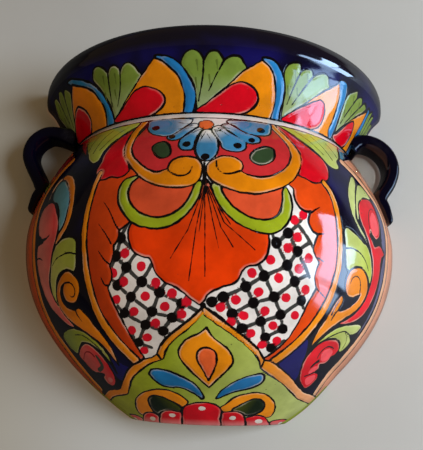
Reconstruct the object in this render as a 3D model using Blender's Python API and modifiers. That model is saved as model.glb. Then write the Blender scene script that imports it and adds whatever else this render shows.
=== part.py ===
"""Half-round glazed wall planter with a flared collar and two strap ears.

The front is a turned pot cut by a plane a little in front of its axis.  A flat
slab closes the back and lies against the wall.  Metres, +Z up, -Y is the front.
The origin is on the wall face, on the middle line, at the height of the widest
part of the belly.
"""
import math

import bmesh
import bpy
from mathutils import Vector

# Turned outline of the pot
BELLY_R = 0.155
AXIS_SETBACK = 0.028
FOOT_R = 0.063
BELLY_DROP = 0.137
BELLY_CURVE = 2.12
NECK_R = 0.122
SHOULDER_RISE = 0.080
SHOULDER_CURVE = 1.7
RIM_R = 0.150
COLLAR_RISE = 0.048
COLLAR_CURVE = 1.15
LIP_RISE = 0.010
LIP_OUTER_ROLL = 0.010
LIP_INNER_ROLL = 0.009
LIP_ROOT = 0.009

# Clay thicknesses
WALL = 0.009
COLLAR_WALL = 0.010
BACK_THICKNESS = 0.009
FLOOR_THICKNESS = 0.009
FOOT_RING = 0.012
JOINT_GAP = 0.0003

# Holes
DRAIN_DIAMETER = 0.010
DRAIN_TO_BACK = 0.002
HANGER_DIAMETER = 0.012
HANGER_BELOW_RIM = 0.028

# Ears: a flat strap that leaves the collar, loops out and lies down on the belly
EAR_THICKNESS = 0.0115
EAR_DEPTH = 0.027
EAR_TO_WALL = 0.003
EAR_EDGE_ROUND = 0.0045
EAR_END_ROUND = 0.005
EAR_SINK = 0.0042
EAR_TOP = 0.089
EAR_LAND_HEIGHT = 0.042
EAR_TAIL_HEIGHT = 0.0215
RIGHT_EAR_STAND_OUT = 0.0265
RIGHT_EAR_LOOP_HEIGHT = 0.0672
LEFT_EAR_STAND_OUT = 0.0315
LEFT_EAR_LOOP_HEIGHT = 0.0713
EAR_ARCH_ANGLES = (90, 60, 30, 0, -30)

# Fineness of the round surfaces
TURN_STEPS = 72
BELLY_POINTS = 12
SHOULDER_POINTS = 7
COLLAR_POINTS = 6
LIP_POINTS = 6
HOLE_SIDES = 24
EAR_CORNER_POINTS = 3
EAR_STEPS = 3
EAR_END_POINTS = 3

TURN_ANGLE = 2 * math.pi
MERGE = 0.00001
NECK_Z = SHOULDER_RISE
RIM_Z = NECK_Z + COLLAR_RISE
TOP_Z = RIM_Z + LIP_RISE
FOOT_Z = -BELLY_DROP
LIP_ROOT_Z = RIM_Z - LIP_ROOT
SHELL_BACK = -(BACK_THICKNESS + JOINT_GAP)
CUT_MARGIN = 2 * BELLY_R

CLAY = (0.55, 0.27, 0.15, 1.0)
COBALT = (0.010, 0.009, 0.045, 1.0)
PAINTED = (0.62, 0.20, 0.03, 1.0)
COLLAR_GREEN = (0.20, 0.30, 0.04, 1.0)


def belly_radius(z):
    """Outer radius of the belly and shoulder at height z."""
    if z < 0:
        return BELLY_R - (BELLY_R - FOOT_R) * (-z / BELLY_DROP) ** BELLY_CURVE
    return BELLY_R - (BELLY_R - NECK_R) * (z / SHOULDER_RISE) ** SHOULDER_CURVE


def collar_radius(z):
    """Outer radius of the flared collar at height z, up to the rim's widest height."""
    left = max(0.0, (RIM_Z - z) / COLLAR_RISE)
    return RIM_R - (RIM_R - NECK_R) * left ** COLLAR_CURVE


def outer_radius(z):
    """Outer radius of the pot at any height below the rolled lip."""
    return belly_radius(z) if z < NECK_Z else collar_radius(z)


def spaced(start, end, count):
    """Evenly spaced values from start to end, both included."""
    return [start + (end - start) * i / (count - 1) for i in range(count)]


def belly_outline():
    """Outer side of the belly as (radius, height), from the neck down to the foot."""
    heights = spaced(NECK_Z, 0, SHOULDER_POINTS) + spaced(0, FOOT_Z, BELLY_POINTS)[1:]
    return [(belly_radius(z), z) for z in heights]


def collar_outline(top, bottom):
    """Outer side of the collar as (radius, height), running down."""
    return [(collar_radius(z), z) for z in spaced(top, bottom, COLLAR_POINTS)]


def lip_arc(roll, start, end):
    """Quarter of the lip's round top, with its own roll width, by angle from the rim."""
    crown_r = RIM_R - LIP_OUTER_ROLL
    angles = spaced(start, end, LIP_POINTS)
    return [(crown_r + roll * math.cos(a), RIM_Z + LIP_RISE * math.sin(a)) for a in angles]


def offset_outline(points, distance):
    """The outline moved along its own normals, inwards for a positive distance."""
    moved = []
    for i, (r, z) in enumerate(points):
        r0, z0 = points[max(i - 1, 0)]
        r1, z1 = points[min(i + 1, len(points) - 1)]
        length = math.hypot(r1 - r0, z1 - z0)
        moved.append((r + distance * (z1 - z0) / length, z - distance * (r1 - r0) / length))
    return moved


def inner_belly_outline():
    """Inner side of the belly wall, from its lowest point up to the neck."""
    inner = offset_outline(belly_outline(), WALL)
    inner[0] = (NECK_R - WALL, NECK_Z)
    return list(reversed(inner))


def radius_on(outline, z):
    """Radius of an outline that runs up, at height z, on the straight between its points."""
    for (r0, z0), (r1, z1) in zip(outline, outline[1:]):
        if z0 <= z <= z1:
            return r0 + (r1 - r0) * (z - z0) / (z1 - z0)
    return outline[-1][0]


def belly_section():
    """Closed section of the belly wall with a flat foot ring and a ledge for the floor."""
    inner = inner_belly_outline()
    ring_r = FOOT_R - FOOT_RING
    return belly_outline() + [(ring_r, FOOT_Z), (ring_r, inner[0][1])] + inner


def floor_section():
    """Half section of the floor, which sits on the foot ring's ledge and fits the wall."""
    inner = inner_belly_outline()
    bottom = inner[0][1] + JOINT_GAP
    top = bottom + FLOOR_THICKNESS
    slope = (radius_on(inner, top) - radius_on(inner, bottom)) / FLOOR_THICKNESS
    fit = JOINT_GAP * math.hypot(1, slope)
    return [(0, top), (radius_on(inner, top) - fit, top),
            (radius_on(inner, bottom) - fit, bottom), (0, bottom)]


def collar_section():
    """Closed section of the collar, from the lip's root down to the neck."""
    outer = collar_outline(LIP_ROOT_Z, NECK_Z + JOINT_GAP)
    return outer + [(r - COLLAR_WALL, z) for r, z in reversed(outer)]


def lip_section():
    """Closed section of the rolled lip, a thick coil that stands on the collar."""
    root = LIP_ROOT_Z + JOINT_GAP
    over = lip_arc(LIP_OUTER_ROLL, math.pi / 2, 0)
    outer = over + [(collar_radius(root), root)]
    inside = lip_arc(LIP_INNER_ROLL, math.pi, math.pi / 2)[:-1]
    return outer + [(collar_radius(root) - COLLAR_WALL, root)] + inside


def pot_outline():
    """Half section of the whole pot as one block, from the axis at the top to the axis below."""
    top = lip_arc(LIP_OUTER_ROLL, math.pi / 2, 0)
    collar = collar_outline(RIM_Z, NECK_Z)[1:-1]
    return top + collar + belly_outline()


def make_collection(name):
    """A new collection in the scene."""
    collection = bpy.data.collections.new(name)
    bpy.context.scene.collection.children.link(collection)
    return collection


def make_material(name, colour, roughness):
    """A plain glazed or bare clay material."""
    material = bpy.data.materials.new(name)
    material.use_nodes = True
    shader = material.node_tree.nodes["Principled BSDF"]
    shader.inputs["Base Color"].default_value = colour
    shader.inputs["Roughness"].default_value = roughness
    shader.inputs["Metallic"].default_value = 0.0
    return material


def turned(name, section, closed, collection):
    """An object turned about the pot's upright axis from its section."""
    mesh = bpy.data.meshes.new(name)
    bm = bmesh.new()
    verts = [bm.verts.new((r, 0, z)) for r, z in section]
    for a, b in zip(verts, verts[1:]):
        bm.edges.new((a, b))
    if closed:
        bm.edges.new((verts[-1], verts[0]))
    bm.to_mesh(mesh)
    bm.free()
    piece = bpy.data.objects.new(name, mesh)
    collection.objects.link(piece)
    piece.location.y = AXIS_SETBACK
    screw = piece.modifiers.new("turn", "SCREW")
    screw.axis = "Z"
    screw.angle = TURN_ANGLE
    screw.steps = TURN_STEPS
    screw.render_steps = TURN_STEPS
    screw.use_merge_vertices = True
    screw.merge_threshold = MERGE
    return piece


def box(name, low, high, collection):
    """A box between two corners."""
    mesh = bpy.data.meshes.new(name)
    bm = bmesh.new()
    bmesh.ops.create_cube(bm, size=1.0)
    size = Vector(high) - Vector(low)
    bmesh.ops.scale(bm, vec=size, verts=bm.verts)
    bm.to_mesh(mesh)
    bm.free()
    piece = bpy.data.objects.new(name, mesh)
    collection.objects.link(piece)
    piece.location = (Vector(high) + Vector(low)) / 2
    return piece


def peg(name, diameter, length, centre, turn_x, collection):
    """A round cutter, upright or turned about X."""
    mesh = bpy.data.meshes.new(name)
    bm = bmesh.new()
    bmesh.ops.create_cone(bm, cap_ends=True, segments=HOLE_SIDES, radius1=diameter / 2,
                          radius2=diameter / 2, depth=length)
    bm.to_mesh(mesh)
    bm.free()
    piece = bpy.data.objects.new(name, mesh)
    collection.objects.link(piece)
    piece.location = centre
    piece.rotation_euler.x = turn_x
    return piece


def as_cutter(piece):
    """Marks an object as a cutter, which isn't part of the planter."""
    piece.hide_render = True
    piece.display_type = "WIRE"
    return piece


def cut(piece, cutter, operation="DIFFERENCE"):
    """Adds an exact Boolean to a piece."""
    boolean = piece.modifiers.new(cutter.name, "BOOLEAN")
    boolean.operation = operation
    boolean.solver = "EXACT"
    boolean.object = cutter


def smooth(piece):
    """Smooth shading with the sharp edges kept."""
    piece.data.shade_smooth()
    piece.data.set_sharp_from_angle(angle=math.radians(35))


def surface_x(z, y):
    """How far from the middle line the pot's outside lies, at a height and a depth."""
    return math.sqrt(outer_radius(z) ** 2 - (AXIS_SETBACK - y) ** 2)


def ear_path(stand_out, loop_height):
    """Middle line of the right ear as (x, z), from inside the collar to the tail's end."""
    y = -(EAR_TO_WALL + EAR_DEPTH / 2)
    lie = EAR_THICKNESS / 2 - EAR_SINK
    arch = EAR_TOP - loop_height
    centre = surface_x(loop_height, y) + stand_out - arch
    start = (surface_x(EAR_TOP, y) - EAR_THICKNESS, EAR_TOP)
    turns = [math.radians(angle) for angle in EAR_ARCH_ANGLES]
    loop = [(centre + arch * math.cos(a), loop_height + arch * math.sin(a)) for a in turns]
    mid_tail = (EAR_LAND_HEIGHT + EAR_TAIL_HEIGHT) / 2
    tail = [(surface_x(z, y) + lie, z) for z in (EAR_LAND_HEIGHT, mid_tail, EAR_TAIL_HEIGHT)]
    return [start] + loop + tail


def smooth_path(points, steps):
    """Points along a smooth curve through the given ones."""
    ends = [points[0]] + points + [points[-1]]
    path = []
    for p0, p1, p2, p3 in zip(ends, ends[1:], ends[2:], ends[3:]):
        for i in range(steps):
            t = i / steps
            path.append(tuple(
                b + t / 2 * (c - a + t * (2 * a - 5 * b + 4 * c - d + t * (3 * (b - c) + d - a)))
                for a, b, c, d in zip(p0, p1, p2, p3)))
    return path + [points[-1]]


def round_end(x0, z0, x1, z1):
    """Points past the strap's end with a falling width, which round it off."""
    length = math.hypot(x1 - x0, z1 - z0)
    points = []
    for angle in spaced(0, math.radians(75), EAR_END_POINTS + 1)[1:]:
        past = EAR_END_ROUND * math.sin(angle) / length
        points.append((x1 + past * (x1 - x0), z1 + past * (z1 - z0), math.cos(angle)))
    return points


def strap_section(name, collection):
    """Rounded oblong that the ear's strap has as its section."""
    half_t = EAR_THICKNESS / 2
    half_d = EAR_DEPTH / 2
    turns = spaced(0, math.pi / 2, EAR_CORNER_POINTS)
    corners = [(1, 1, 0), (-1, 1, math.pi / 2), (-1, -1, math.pi), (1, -1, 3 * math.pi / 2)]
    points = [(sx * (half_t - EAR_EDGE_ROUND) + EAR_EDGE_ROUND * math.cos(a + turn),
               sy * (half_d - EAR_EDGE_ROUND) + EAR_EDGE_ROUND * math.sin(a + turn))
              for sx, sy, turn in corners for a in turns]
    curve = bpy.data.curves.new(name, "CURVE")
    curve.dimensions = "2D"
    spline = curve.splines.new("POLY")
    spline.points.add(len(points) - 1)
    for point, (x, y) in zip(spline.points, points):
        point.co = (x, y, 0, 1)
    spline.use_cyclic_u = True
    piece = bpy.data.objects.new(name, curve)
    collection.objects.link(piece)
    return as_cutter(piece)


def make_ear(name, side, line, section, pot_block, collection):
    """One strap ear as a mesh, cut to lie against the pot."""
    curve = bpy.data.curves.new(name + "_path", "CURVE")
    curve.dimensions = "2D"
    curve.bevel_mode = "OBJECT"
    curve.bevel_object = section
    curve.use_fill_caps = True
    path = [(x, z, 1.0) for x, z in smooth_path(line, EAR_STEPS)]
    path += round_end(*path[-2][:2], *path[-1][:2])
    spline = curve.splines.new("POLY")
    spline.points.add(len(path) - 1)
    for point, (x, z, width) in zip(spline.points, path):
        point.co = (side * x, z, 0, 1)
        point.radius = width
    guide = bpy.data.objects.new(name + "_path", curve)
    collection.objects.link(guide)
    guide.rotation_euler.x = math.pi / 2
    guide.location.y = -(EAR_TO_WALL + EAR_DEPTH / 2)
    bpy.context.view_layer.update()
    evaluated = guide.evaluated_get(bpy.context.evaluated_depsgraph_get())
    mesh = bpy.data.meshes.new_from_object(evaluated)
    mesh.name = name
    bm = bmesh.new()
    bm.from_mesh(mesh)
    bmesh.ops.remove_doubles(bm, verts=bm.verts, dist=MERGE)
    bmesh.ops.recalc_face_normals(bm, faces=bm.faces)
    bm.to_mesh(mesh)
    bm.free()
    ear = bpy.data.objects.new(name, mesh)
    ear.matrix_world = guide.matrix_world.copy()
    collection.objects.link(ear)
    bpy.data.objects.remove(guide)
    cut(ear, pot_block)
    return ear


def make_planter():
    """Every piece of the planter, with its material."""
    parts = make_collection("talavera_planter")
    cutters = make_collection("cutters")
    origin = bpy.data.objects.new("wall_origin", None)
    parts.objects.link(origin)

    front_cut = as_cutter(box("front_cut", (-CUT_MARGIN, SHELL_BACK, -CUT_MARGIN),
                              (CUT_MARGIN, CUT_MARGIN, CUT_MARGIN), cutters))
    slab_block = as_cutter(box("slab_block", (-CUT_MARGIN, -BACK_THICKNESS, -CUT_MARGIN),
                               (CUT_MARGIN, 0, CUT_MARGIN), cutters))
    outline = pot_outline()
    grown = offset_outline(outline, -JOINT_GAP)
    pot_block = as_cutter(turned("pot_block", [(0, grown[0][1])] + grown + [(0, grown[-1][1])],
                                 False, cutters))

    belly = turned("belly_shell", belly_section(), True, parts)
    collar = turned("collar", collar_section(), True, parts)
    lip = turned("rolled_lip", lip_section(), True, parts)
    floor = turned("floor_slab", floor_section(), False, parts)
    for piece in (belly, collar, lip, floor):
        cut(piece, front_cut)

    drain_y = SHELL_BACK - DRAIN_TO_BACK - DRAIN_DIAMETER / 2
    drain = as_cutter(peg("drain_cut", DRAIN_DIAMETER, BELLY_DROP, (0, drain_y, FOOT_Z), 0, cutters))
    cut(floor, drain)

    back = turned("back_slab", [(0, TOP_Z)] + outline + [(0, FOOT_Z)], False, parts)
    cut(back, slab_block, "INTERSECT")
    hanger = as_cutter(peg("hanger_cut", HANGER_DIAMETER, 4 * BACK_THICKNESS,
                           (0, 0, TOP_Z - HANGER_BELOW_RIM), math.pi / 2, cutters))
    cut(back, hanger)

    section = strap_section("ear_section", cutters)
    left_line = ear_path(LEFT_EAR_STAND_OUT, LEFT_EAR_LOOP_HEIGHT)
    right_line = ear_path(RIGHT_EAR_STAND_OUT, RIGHT_EAR_LOOP_HEIGHT)
    ears = [make_ear("ear_left", -1, left_line, section, pot_block, parts),
            make_ear("ear_right", 1, right_line, section, pot_block, parts)]

    cobalt = make_material("cobalt_glaze", COBALT, 0.15)
    bare = make_material("bare_clay", CLAY, 0.75)
    painted = make_material("painted_glaze", PAINTED, 0.2)
    green = make_material("collar_glaze", COLLAR_GREEN, 0.2)
    finishes = {belly: painted, collar: green, lip: cobalt, floor: bare, back: bare,
                ears[0]: cobalt, ears[1]: cobalt}
    for piece, material in finishes.items():
        piece.data.materials.append(material)
        piece.parent = origin
        smooth(piece)


def clear_scene():
    """Removes whatever the scene holds."""
    for old in list(bpy.data.objects):
        bpy.data.objects.remove(old)


clear_scene()
make_planter()
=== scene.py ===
"""Painted wall planter: every piece of the glazed pot, its hand painting, and a plain stage."""
import math

import bmesh
import bpy
import numpy as np
from bpy.props import FloatProperty, FloatVectorProperty, PointerProperty
from mathutils import Matrix, Vector


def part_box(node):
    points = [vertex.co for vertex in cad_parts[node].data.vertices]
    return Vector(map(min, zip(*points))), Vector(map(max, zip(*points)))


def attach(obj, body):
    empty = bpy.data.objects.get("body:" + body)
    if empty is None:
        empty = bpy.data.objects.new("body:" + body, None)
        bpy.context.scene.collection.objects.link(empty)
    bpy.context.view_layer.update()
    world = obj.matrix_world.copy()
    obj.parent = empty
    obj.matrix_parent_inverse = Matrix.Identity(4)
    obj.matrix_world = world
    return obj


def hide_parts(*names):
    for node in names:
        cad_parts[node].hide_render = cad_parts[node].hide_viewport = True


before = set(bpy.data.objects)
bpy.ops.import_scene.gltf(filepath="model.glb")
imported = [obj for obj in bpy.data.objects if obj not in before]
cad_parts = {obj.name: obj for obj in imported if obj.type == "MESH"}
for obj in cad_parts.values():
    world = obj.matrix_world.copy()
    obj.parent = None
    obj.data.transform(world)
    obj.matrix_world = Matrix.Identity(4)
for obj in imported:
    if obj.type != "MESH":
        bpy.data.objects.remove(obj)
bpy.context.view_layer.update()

bl_info = {
    "name": "Painted wall planter",
    "version": (1, 0, 0),
    "blender": (4, 5, 0),
    "location": "View3D > Sidebar > Planter",
    "description": "Builds a half-round glazed wall planter with its hand-painted pattern",
    "category": "Add Mesh",
}

BELLY_LOW, BELLY_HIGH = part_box("belly_shell")
LIP_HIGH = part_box("rolled_lip")[1]
SLAB_LOW, SLAB_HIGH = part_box("back_slab")
MM = 0.001

# How the walls bend below and above the widest height and up the collar.
BELLY_CURVE = 2.12
SHOULDER_CURVE = 1.7
COLLAR_CURVE = 1.15

# How far a section is spun, where the slabs' sections end inside as a share of the axis's setback,
# and the angle from which an edge stays sharp.
SWEEP = math.radians(166)
INSIDE_SHARE = 0.7
SHARP_EDGE = math.radians(40)

# Where the lip's swell is fullest below the rim, and how soon it dies away.
SWELL_DROP = 0.007
SWELL_REACH = 0.0052

# Where the foot was pressed: from so many degrees right of the front, over so many more, and so high.
PRESS_START = 20
PRESS_SPAN = 30
PRESS_HEIGHT = 0.042

# Mesh spacing along and round the lip, along the back slab and round the floor.
LIP_RUN = 0.0015
LIP_GRAIN = 0.0016
BACK_RUN = 0.0025
FLOOR_GRAIN = 0.002

# Floor's gap to the belly, and the clay between its drain hole and the back slab.
FLOOR_GAP = 0.0004
DRAIN_SETBACK = 0.0023

# Ears: turns of the loop in degrees, how far the tail's three places are pressed into the belly,
# the turns of the tail's round end in degrees, and how square the strap's section is.
EAR_TURNS = (90, 60, 30, 0, -30)
TAIL_PRESS = (0.0, 0.001, 0.0018)
TAIL_ROUND = (20, 40, 58, 72, 82)
STRAP_SQUARENESS = 0.65

# Heights between which the bluer ring of painted light under the lip comes and goes, where the glaze
# ends on the back slab and how far it runs, and how high the green of the foot's edge goes.
RING_START = (0.104, 0.114)
RING_END = (0.115, 0.124)
RUN_EDGE = (0.142, 0.1432)
RUN_LENGTH = 0.03
FOOT_EDGE = 0.03

# Layers of the painting from the lowest up, those that have no black line, and how far from a form
# its layer is told of it, in millimetres.
BELLY_LAYERS = ("panel", "lattice", "ground", "form", "detail", "mark", "hair")
COLLAR_LAYERS = ("form", "detail", "mark", "hair")
UNLINED = ("lattice", "mark", "hair")
OUT_OF_REACH = 9.0
NEAR_FORM = 3.5

# Window as the glaze mirrors it: each pane's turn to the right and lift in degrees, its width, its
# height and its share of the power.
WINDOW_PANES = {
    "near": (72, 1.2, 0.20, 0.67, 0.54),
    "far": (85.3, -8, 0.205, 0.36, 0.25),
    "low": (79, -27.5, 0.29, 0.15, 0.113),
    "sill": (60, -17, 0.195, 0.18, 0.084),
    "ledge": (72.5, -21, 0.21, 0.082, 0.034)}
WINDOW_AIM = Vector((0, -0.05, 0))
WINDOW_DISTANCE = 0.93
WINDOW_COLOUR = (0.47, 0.68, 1.0)

# Lamps: place, aim, size, colour and spread in degrees.
LAMPS = {
    "key": ((0.95, -1.0, 0.08), (0, 0, 0), 0.6, (0.80, 0.90, 1.0), 180),
    "low": ((0.9, -0.7, -0.85), (0, 0, 0), 0.6, (0.90, 0.96, 1.0), 180),
    "loop": ((0.16, -0.6, 0.03), (0.131, 0, 0.068), 0.02, (0.96, 1.0, 1.0), 7),
    "side": ((1.3, 0.5, 0.0), (0, 0, 0), 0.8, (0.96, 0.98, 1.0), 180),
    "back": ((0, 1.4, 0.3), (0, 0, 0), 1.0, (1.0, 0.98, 0.95), 180)}
ROOM_COLOUR = (1.0, 0.72, 0.42, 1.0)
ROOM_MIRRORED = 0.2

# Sheet: half its width, its place behind the wall face, and the tint of its shaded left.
SHEET_REACH = 3.0
SHEET_SETBACK = 0.0015
SHADED_TINT = (0.84, 0.79, 0.69)


def linear(red, green, blue):
    """Colour as the eye reads it, in steps of 255, turned into light values."""
    parts = [value / 255 for value in (red, green, blue)]
    return tuple(p / 12.92 if p <= 0.04045 else ((p + 0.055) / 1.055) ** 2.4 for p in parts)


def length(name, words, default):
    """A size in metres that a user can change."""
    return FloatProperty(name=name, description=words, default=default, min=0.0, unit="LENGTH",
                         precision=4)


def glaze(name, words, red, green, blue):
    """A colour that a user can change."""
    return FloatVectorProperty(name=name, description=words, default=linear(red, green, blue),
                               min=0.0, max=1.0, subtype="COLOR")


def offset(name, words, default):
    """A place along an axis, in metres, that a user can change."""
    return FloatProperty(name=name, description=words, default=default, unit="LENGTH", precision=5)


def angle(name, words, degrees):
    """An angle that a user can change."""
    return FloatProperty(name=name, description=words, default=math.radians(degrees), subtype="ANGLE")


def power(name, words, default):
    """A lamp's power that a user can change."""
    return FloatProperty(name=name, description=words, default=default, min=0.0, unit="POWER",
                         precision=4)


class PlanterSizes(bpy.types.PropertyGroup):
    """Sizes of the clay pieces."""

    belly_radius: length("Belly radius", "Outer radius at the widest height", 0.155)
    neck_radius: length("Neck radius", "Outer radius where the collar starts", 0.122)
    rim_radius: length("Rim radius", "Outer radius at the lip", 0.150)
    foot_radius: length("Foot radius", "Outer radius at the foot", 0.063)
    axis_setback: length("Axis setback", "Turning axis behind the wall face", 0.028)
    belly_drop: length("Belly drop", "Widest height down to the foot", -BELLY_LOW.z)
    shoulder_rise: length("Shoulder rise", "Widest height up to the neck", BELLY_HIGH.z)
    collar_rise: length("Collar rise", "Neck up to the widest height of the rim", 0.048)
    lip_rise: length("Lip rise", "Widest height of the rim up to the top", LIP_HIGH.z - 0.128)
    lip_outer_roll: length("Lip outer roll", "Depth of the lip's outer round", 0.010)
    lip_inner_roll: length("Lip inner roll", "Depth of the lip's inner round", 0.009)
    lip_root: length("Lip root", "Lip's root below the widest height of the rim", 0.009)
    lip_swell: length("Lip swell", "How far the rolled lip stands out of the flare", 0.0030)
    wall: length("Wall", "Thickness of the belly wall", 0.009)
    collar_wall: length("Collar wall", "Thickness of the collar", 0.010)
    back_thickness: length("Back thickness", "Thickness of the back slab", SLAB_HIGH.y - SLAB_LOW.y)
    floor_thickness: length("Floor thickness", "Thickness of the floor", 0.009)
    foot_ring: length("Foot ring", "Width of the foot ring", 0.012)
    foot_swell: length("Foot swell", "How far the right of the foot was pressed out", 0.008)
    drain_diameter: length("Drain hole", "Diameter of the hole in the floor", 0.010)
    hanger_diameter: length("Hanging hole", "Diameter of the hole in the back", 0.012)
    hanger_drop: length("Hanging hole drop", "Hanging hole below the top", 0.028)
    ear_thickness: length("Ear thickness", "Thickness of the ears' strap", 0.0115)
    ear_depth: length("Ear depth", "Width of the ears' strap", 0.027)
    ear_to_wall: length("Ear to wall", "Strap's edge to the wall face", 0.003)
    ear_sink: length("Ear sink", "How far the strap is pressed into the pot", 0.0042)
    right_ear_top: length("Right ear top", "Height of the right ear's top run", 0.0915)
    left_ear_top: length("Left ear top", "Height of the left ear's top run", 0.0896)
    ear_land_height: length("Ear landing", "Height where the strap meets the belly", 0.042)
    ear_tail_height: length("Ear tail", "Height of the tail's end", 0.0245)
    right_stand_out: length("Right ear stand-out", "Reach of the right ear past the pot", 0.0265)
    right_loop_height: length("Right ear loop", "Height of the right ear's widest place", 0.0672)
    left_stand_out: length("Left ear stand-out", "Reach of the left ear past the pot", 0.0315)
    left_loop_height: length("Left ear loop", "Height of the left ear's widest place", 0.0713)
    belly_grain: length("Belly mesh", "Mesh spacing under the belly's painting", 0.00125)
    collar_grain: length("Collar mesh", "Mesh spacing under the collar's painting", 0.0007)
    inner_grain: length("Inner mesh", "Mesh spacing on the inner walls", 0.005)


class PlanterGlazes(bpy.types.PropertyGroup):
    """Colours of the glazes, the painting and the clay."""

    cobalt: glaze("Cobalt", "Dark blue of the lip, the ears and the side panels", 6, 5, 24)
    lit_blue: glaze("Lit blue", "Bluer patches of the dark glaze", 20, 17, 94)
    line: glaze("Line", "Black brush line", 8, 6, 10)
    amber: glaze("Amber", "Yellow of the scrolls", 218, 126, 8)
    stripe: glaze("Stripe", "Orange of the panel stripes", 230, 138, 16)
    leaf_orange: glaze("Leaf orange", "Orange of the collar's leaves", 226, 134, 12)
    field: glaze("Field", "Red-orange of the fields", 216, 70, 16)
    shell: glaze("Shell", "Red-orange of the middle shell", 224, 57, 3)
    # Band: red-orange outside the side panels, painted pale partly as the sheet's reflection on the grazing
    # sides.
    band: glaze("Band", "Pale red-orange outside the side panels", 238, 164, 130)
    crescent: glaze("Crescent", "Green of the crescents", 150, 164, 28)
    meadow: glaze("Meadow", "Yellow-green of the foot", 160, 176, 42)
    fan: glaze("Fan", "Green of the collar's fans", 118, 142, 56)
    neck_leaf: glaze("Neck leaf", "Green of the leaves under the neck", 168, 182, 68)
    red: glaze("Red", "Red of the petals and drops", 208, 6, 28)
    rose: glaze("Rose", "Rose ground inside the scrolls", 198, 44, 48)
    petal_blue: glaze("Petal blue", "Blue of the flower's petals", 58, 128, 172)
    arc_blue: glaze("Arc blue", "Blue of the collar's arcs", 32, 122, 186)
    teal: glaze("Teal", "Teal of the bud", 92, 156, 186)
    oval_green: glaze("Oval green", "Dark green of the ovals", 45, 66, 40)
    deep_green: glaze("Deep green", "Darkest green", 12, 28, 8)
    coral: glaze("Coral", "Coral of the drop and the flower's eye", 230, 98, 46)
    white: glaze("White", "White of the neck band and the lattice", 226, 219, 214)
    lattice: glaze("Lattice", "Dark grey of the lattice", 58, 58, 56)
    dot_red: glaze("Dot red", "Red of the lattice's dots", 212, 18, 42)
    clay: glaze("Clay", "Bare fired clay", 190, 120, 82)


class PlanterStage(bpy.types.PropertyGroup):
    """Camera, lamps and backdrop."""

    lens: FloatProperty(name="Lens", description="Focal length", default=46.515, unit="CAMERA")
    distance: length("Distance", "Camera to its target", 0.49311)
    target_x: offset("Target X", "Aim, to the right", 0.00111)
    target_z: offset("Target Z", "Aim, upwards", 0.02123)
    elevation: angle("Elevation", "Camera above the horizon", -13.814)
    roll: angle("Roll", "Camera turned about its view", 1.859)
    window_power: power("Window", "Power of the window's reflection", 9.0)
    key_power: power("Key", "Power of the soft front light", 18.5)
    low_power: power("Low", "Power of the soft light from below", 3.6)
    loop_power: power("Loop", "Power of the small light through the right ear", 0.0022)
    side_power: power("Side", "Power of the soft light from the right", 6.0)
    back_power: power("Back", "Power of the soft light on the back", 10.0)
    room: FloatProperty(name="Room", description="Brightness of the room", default=0.27)
    backdrop: glaze("Backdrop", "Pale sheet behind the pot", 188, 187, 183)


def sizes():
    """The pot's sizes."""
    return bpy.context.scene.planter_sizes


def glazes():
    """The pot's colours."""
    return bpy.context.scene.planter_glazes


def belly_radius_at(z):
    """Outer radius of the belly and shoulder at height z."""
    pot = sizes()
    low = np.clip(-z / pot.belly_drop, 0, 1) ** BELLY_CURVE
    high = np.clip(z / pot.shoulder_rise, 0, 1) ** SHOULDER_CURVE
    return (pot.belly_radius - (pot.belly_radius - pot.foot_radius) * low
            - (pot.belly_radius - pot.neck_radius) * high)


def collar_radius_at(z):
    """Outer radius of the flared collar at height z."""
    pot = sizes()
    left = np.clip((pot.shoulder_rise + pot.collar_rise - z) / pot.collar_rise, 0, 1)
    return pot.rim_radius - (pot.rim_radius - pot.neck_radius) * left ** COLLAR_CURVE + lip_swell(z)


def lip_swell(z):
    """How far the rolled lip stands out at height z."""
    pot = sizes()
    off = (pot.shoulder_rise + pot.collar_rise - SWELL_DROP - z) / SWELL_REACH
    return pot.lip_swell * np.exp(-off ** 2)


def run_of(radius_at, low, high):
    """Fine points up a wall: how far along the wall from low, the radius and the height."""
    heights = np.linspace(low, high, 2000)
    radii = radius_at(heights)
    along = np.concatenate([[0.0], np.cumsum(np.hypot(np.diff(radii), np.diff(heights)))])
    return along, radii, heights


def even_outline(radius_at, low, high, spacing):
    """Evenly spaced (radius, height) points up a wall."""
    along, radii, heights = run_of(radius_at, low, high)
    places = np.linspace(0, along[-1], max(2, round(along[-1] / spacing) + 1))
    return list(zip(np.interp(places, along, radii), np.interp(places, along, heights)))


def moved_in(points, distance):
    """A rising outline moved towards the pot's inside along its own normals."""
    r, z = np.array(points).T
    dr, dz = np.gradient(r), np.gradient(z)
    span = np.hypot(dr, dz)
    return list(zip(r - distance * dz / span, z + distance * dr / span))


def turned(bm, section, closed, spacing, reach):
    """Spins a section about the pot's upright axis, from side to side past the wall."""
    pot = sizes()
    turn = SWEEP / 2
    verts = [bm.verts.new((-r * math.sin(turn), pot.axis_setback - r * math.cos(turn), z))
             for r, z in section]
    edges = [bm.edges.new(pair) for pair in zip(verts, verts[1:])]
    if closed:
        edges.append(bm.edges.new((verts[-1], verts[0])))
    bmesh.ops.spin(bm, geom=verts + edges, cent=(0, pot.axis_setback, 0), axis=(0, 0, 1),
                   angle=SWEEP, steps=round(SWEEP * reach / spacing), use_merge=False)


def cut_at(bm, y, **cleared):
    """Cuts a bmesh at a depth and clears one side of the cut."""
    bmesh.ops.bisect_plane(bm, geom=bm.verts[:] + bm.edges[:] + bm.faces[:], dist=1e-7,
                           plane_co=(0, y, 0), plane_no=(0, 1, 0), **cleared)


def cut_back(bm, y):
    """Cuts everything behind a plane and closes the ends."""
    cut_at(bm, y, clear_outer=True)
    open_edges = [edge for edge in bm.edges if edge.is_boundary]
    bmesh.ops.holes_fill(bm, edges=open_edges, sides=0)
    bmesh.ops.recalc_face_normals(bm, faces=bm.faces[:])


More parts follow.
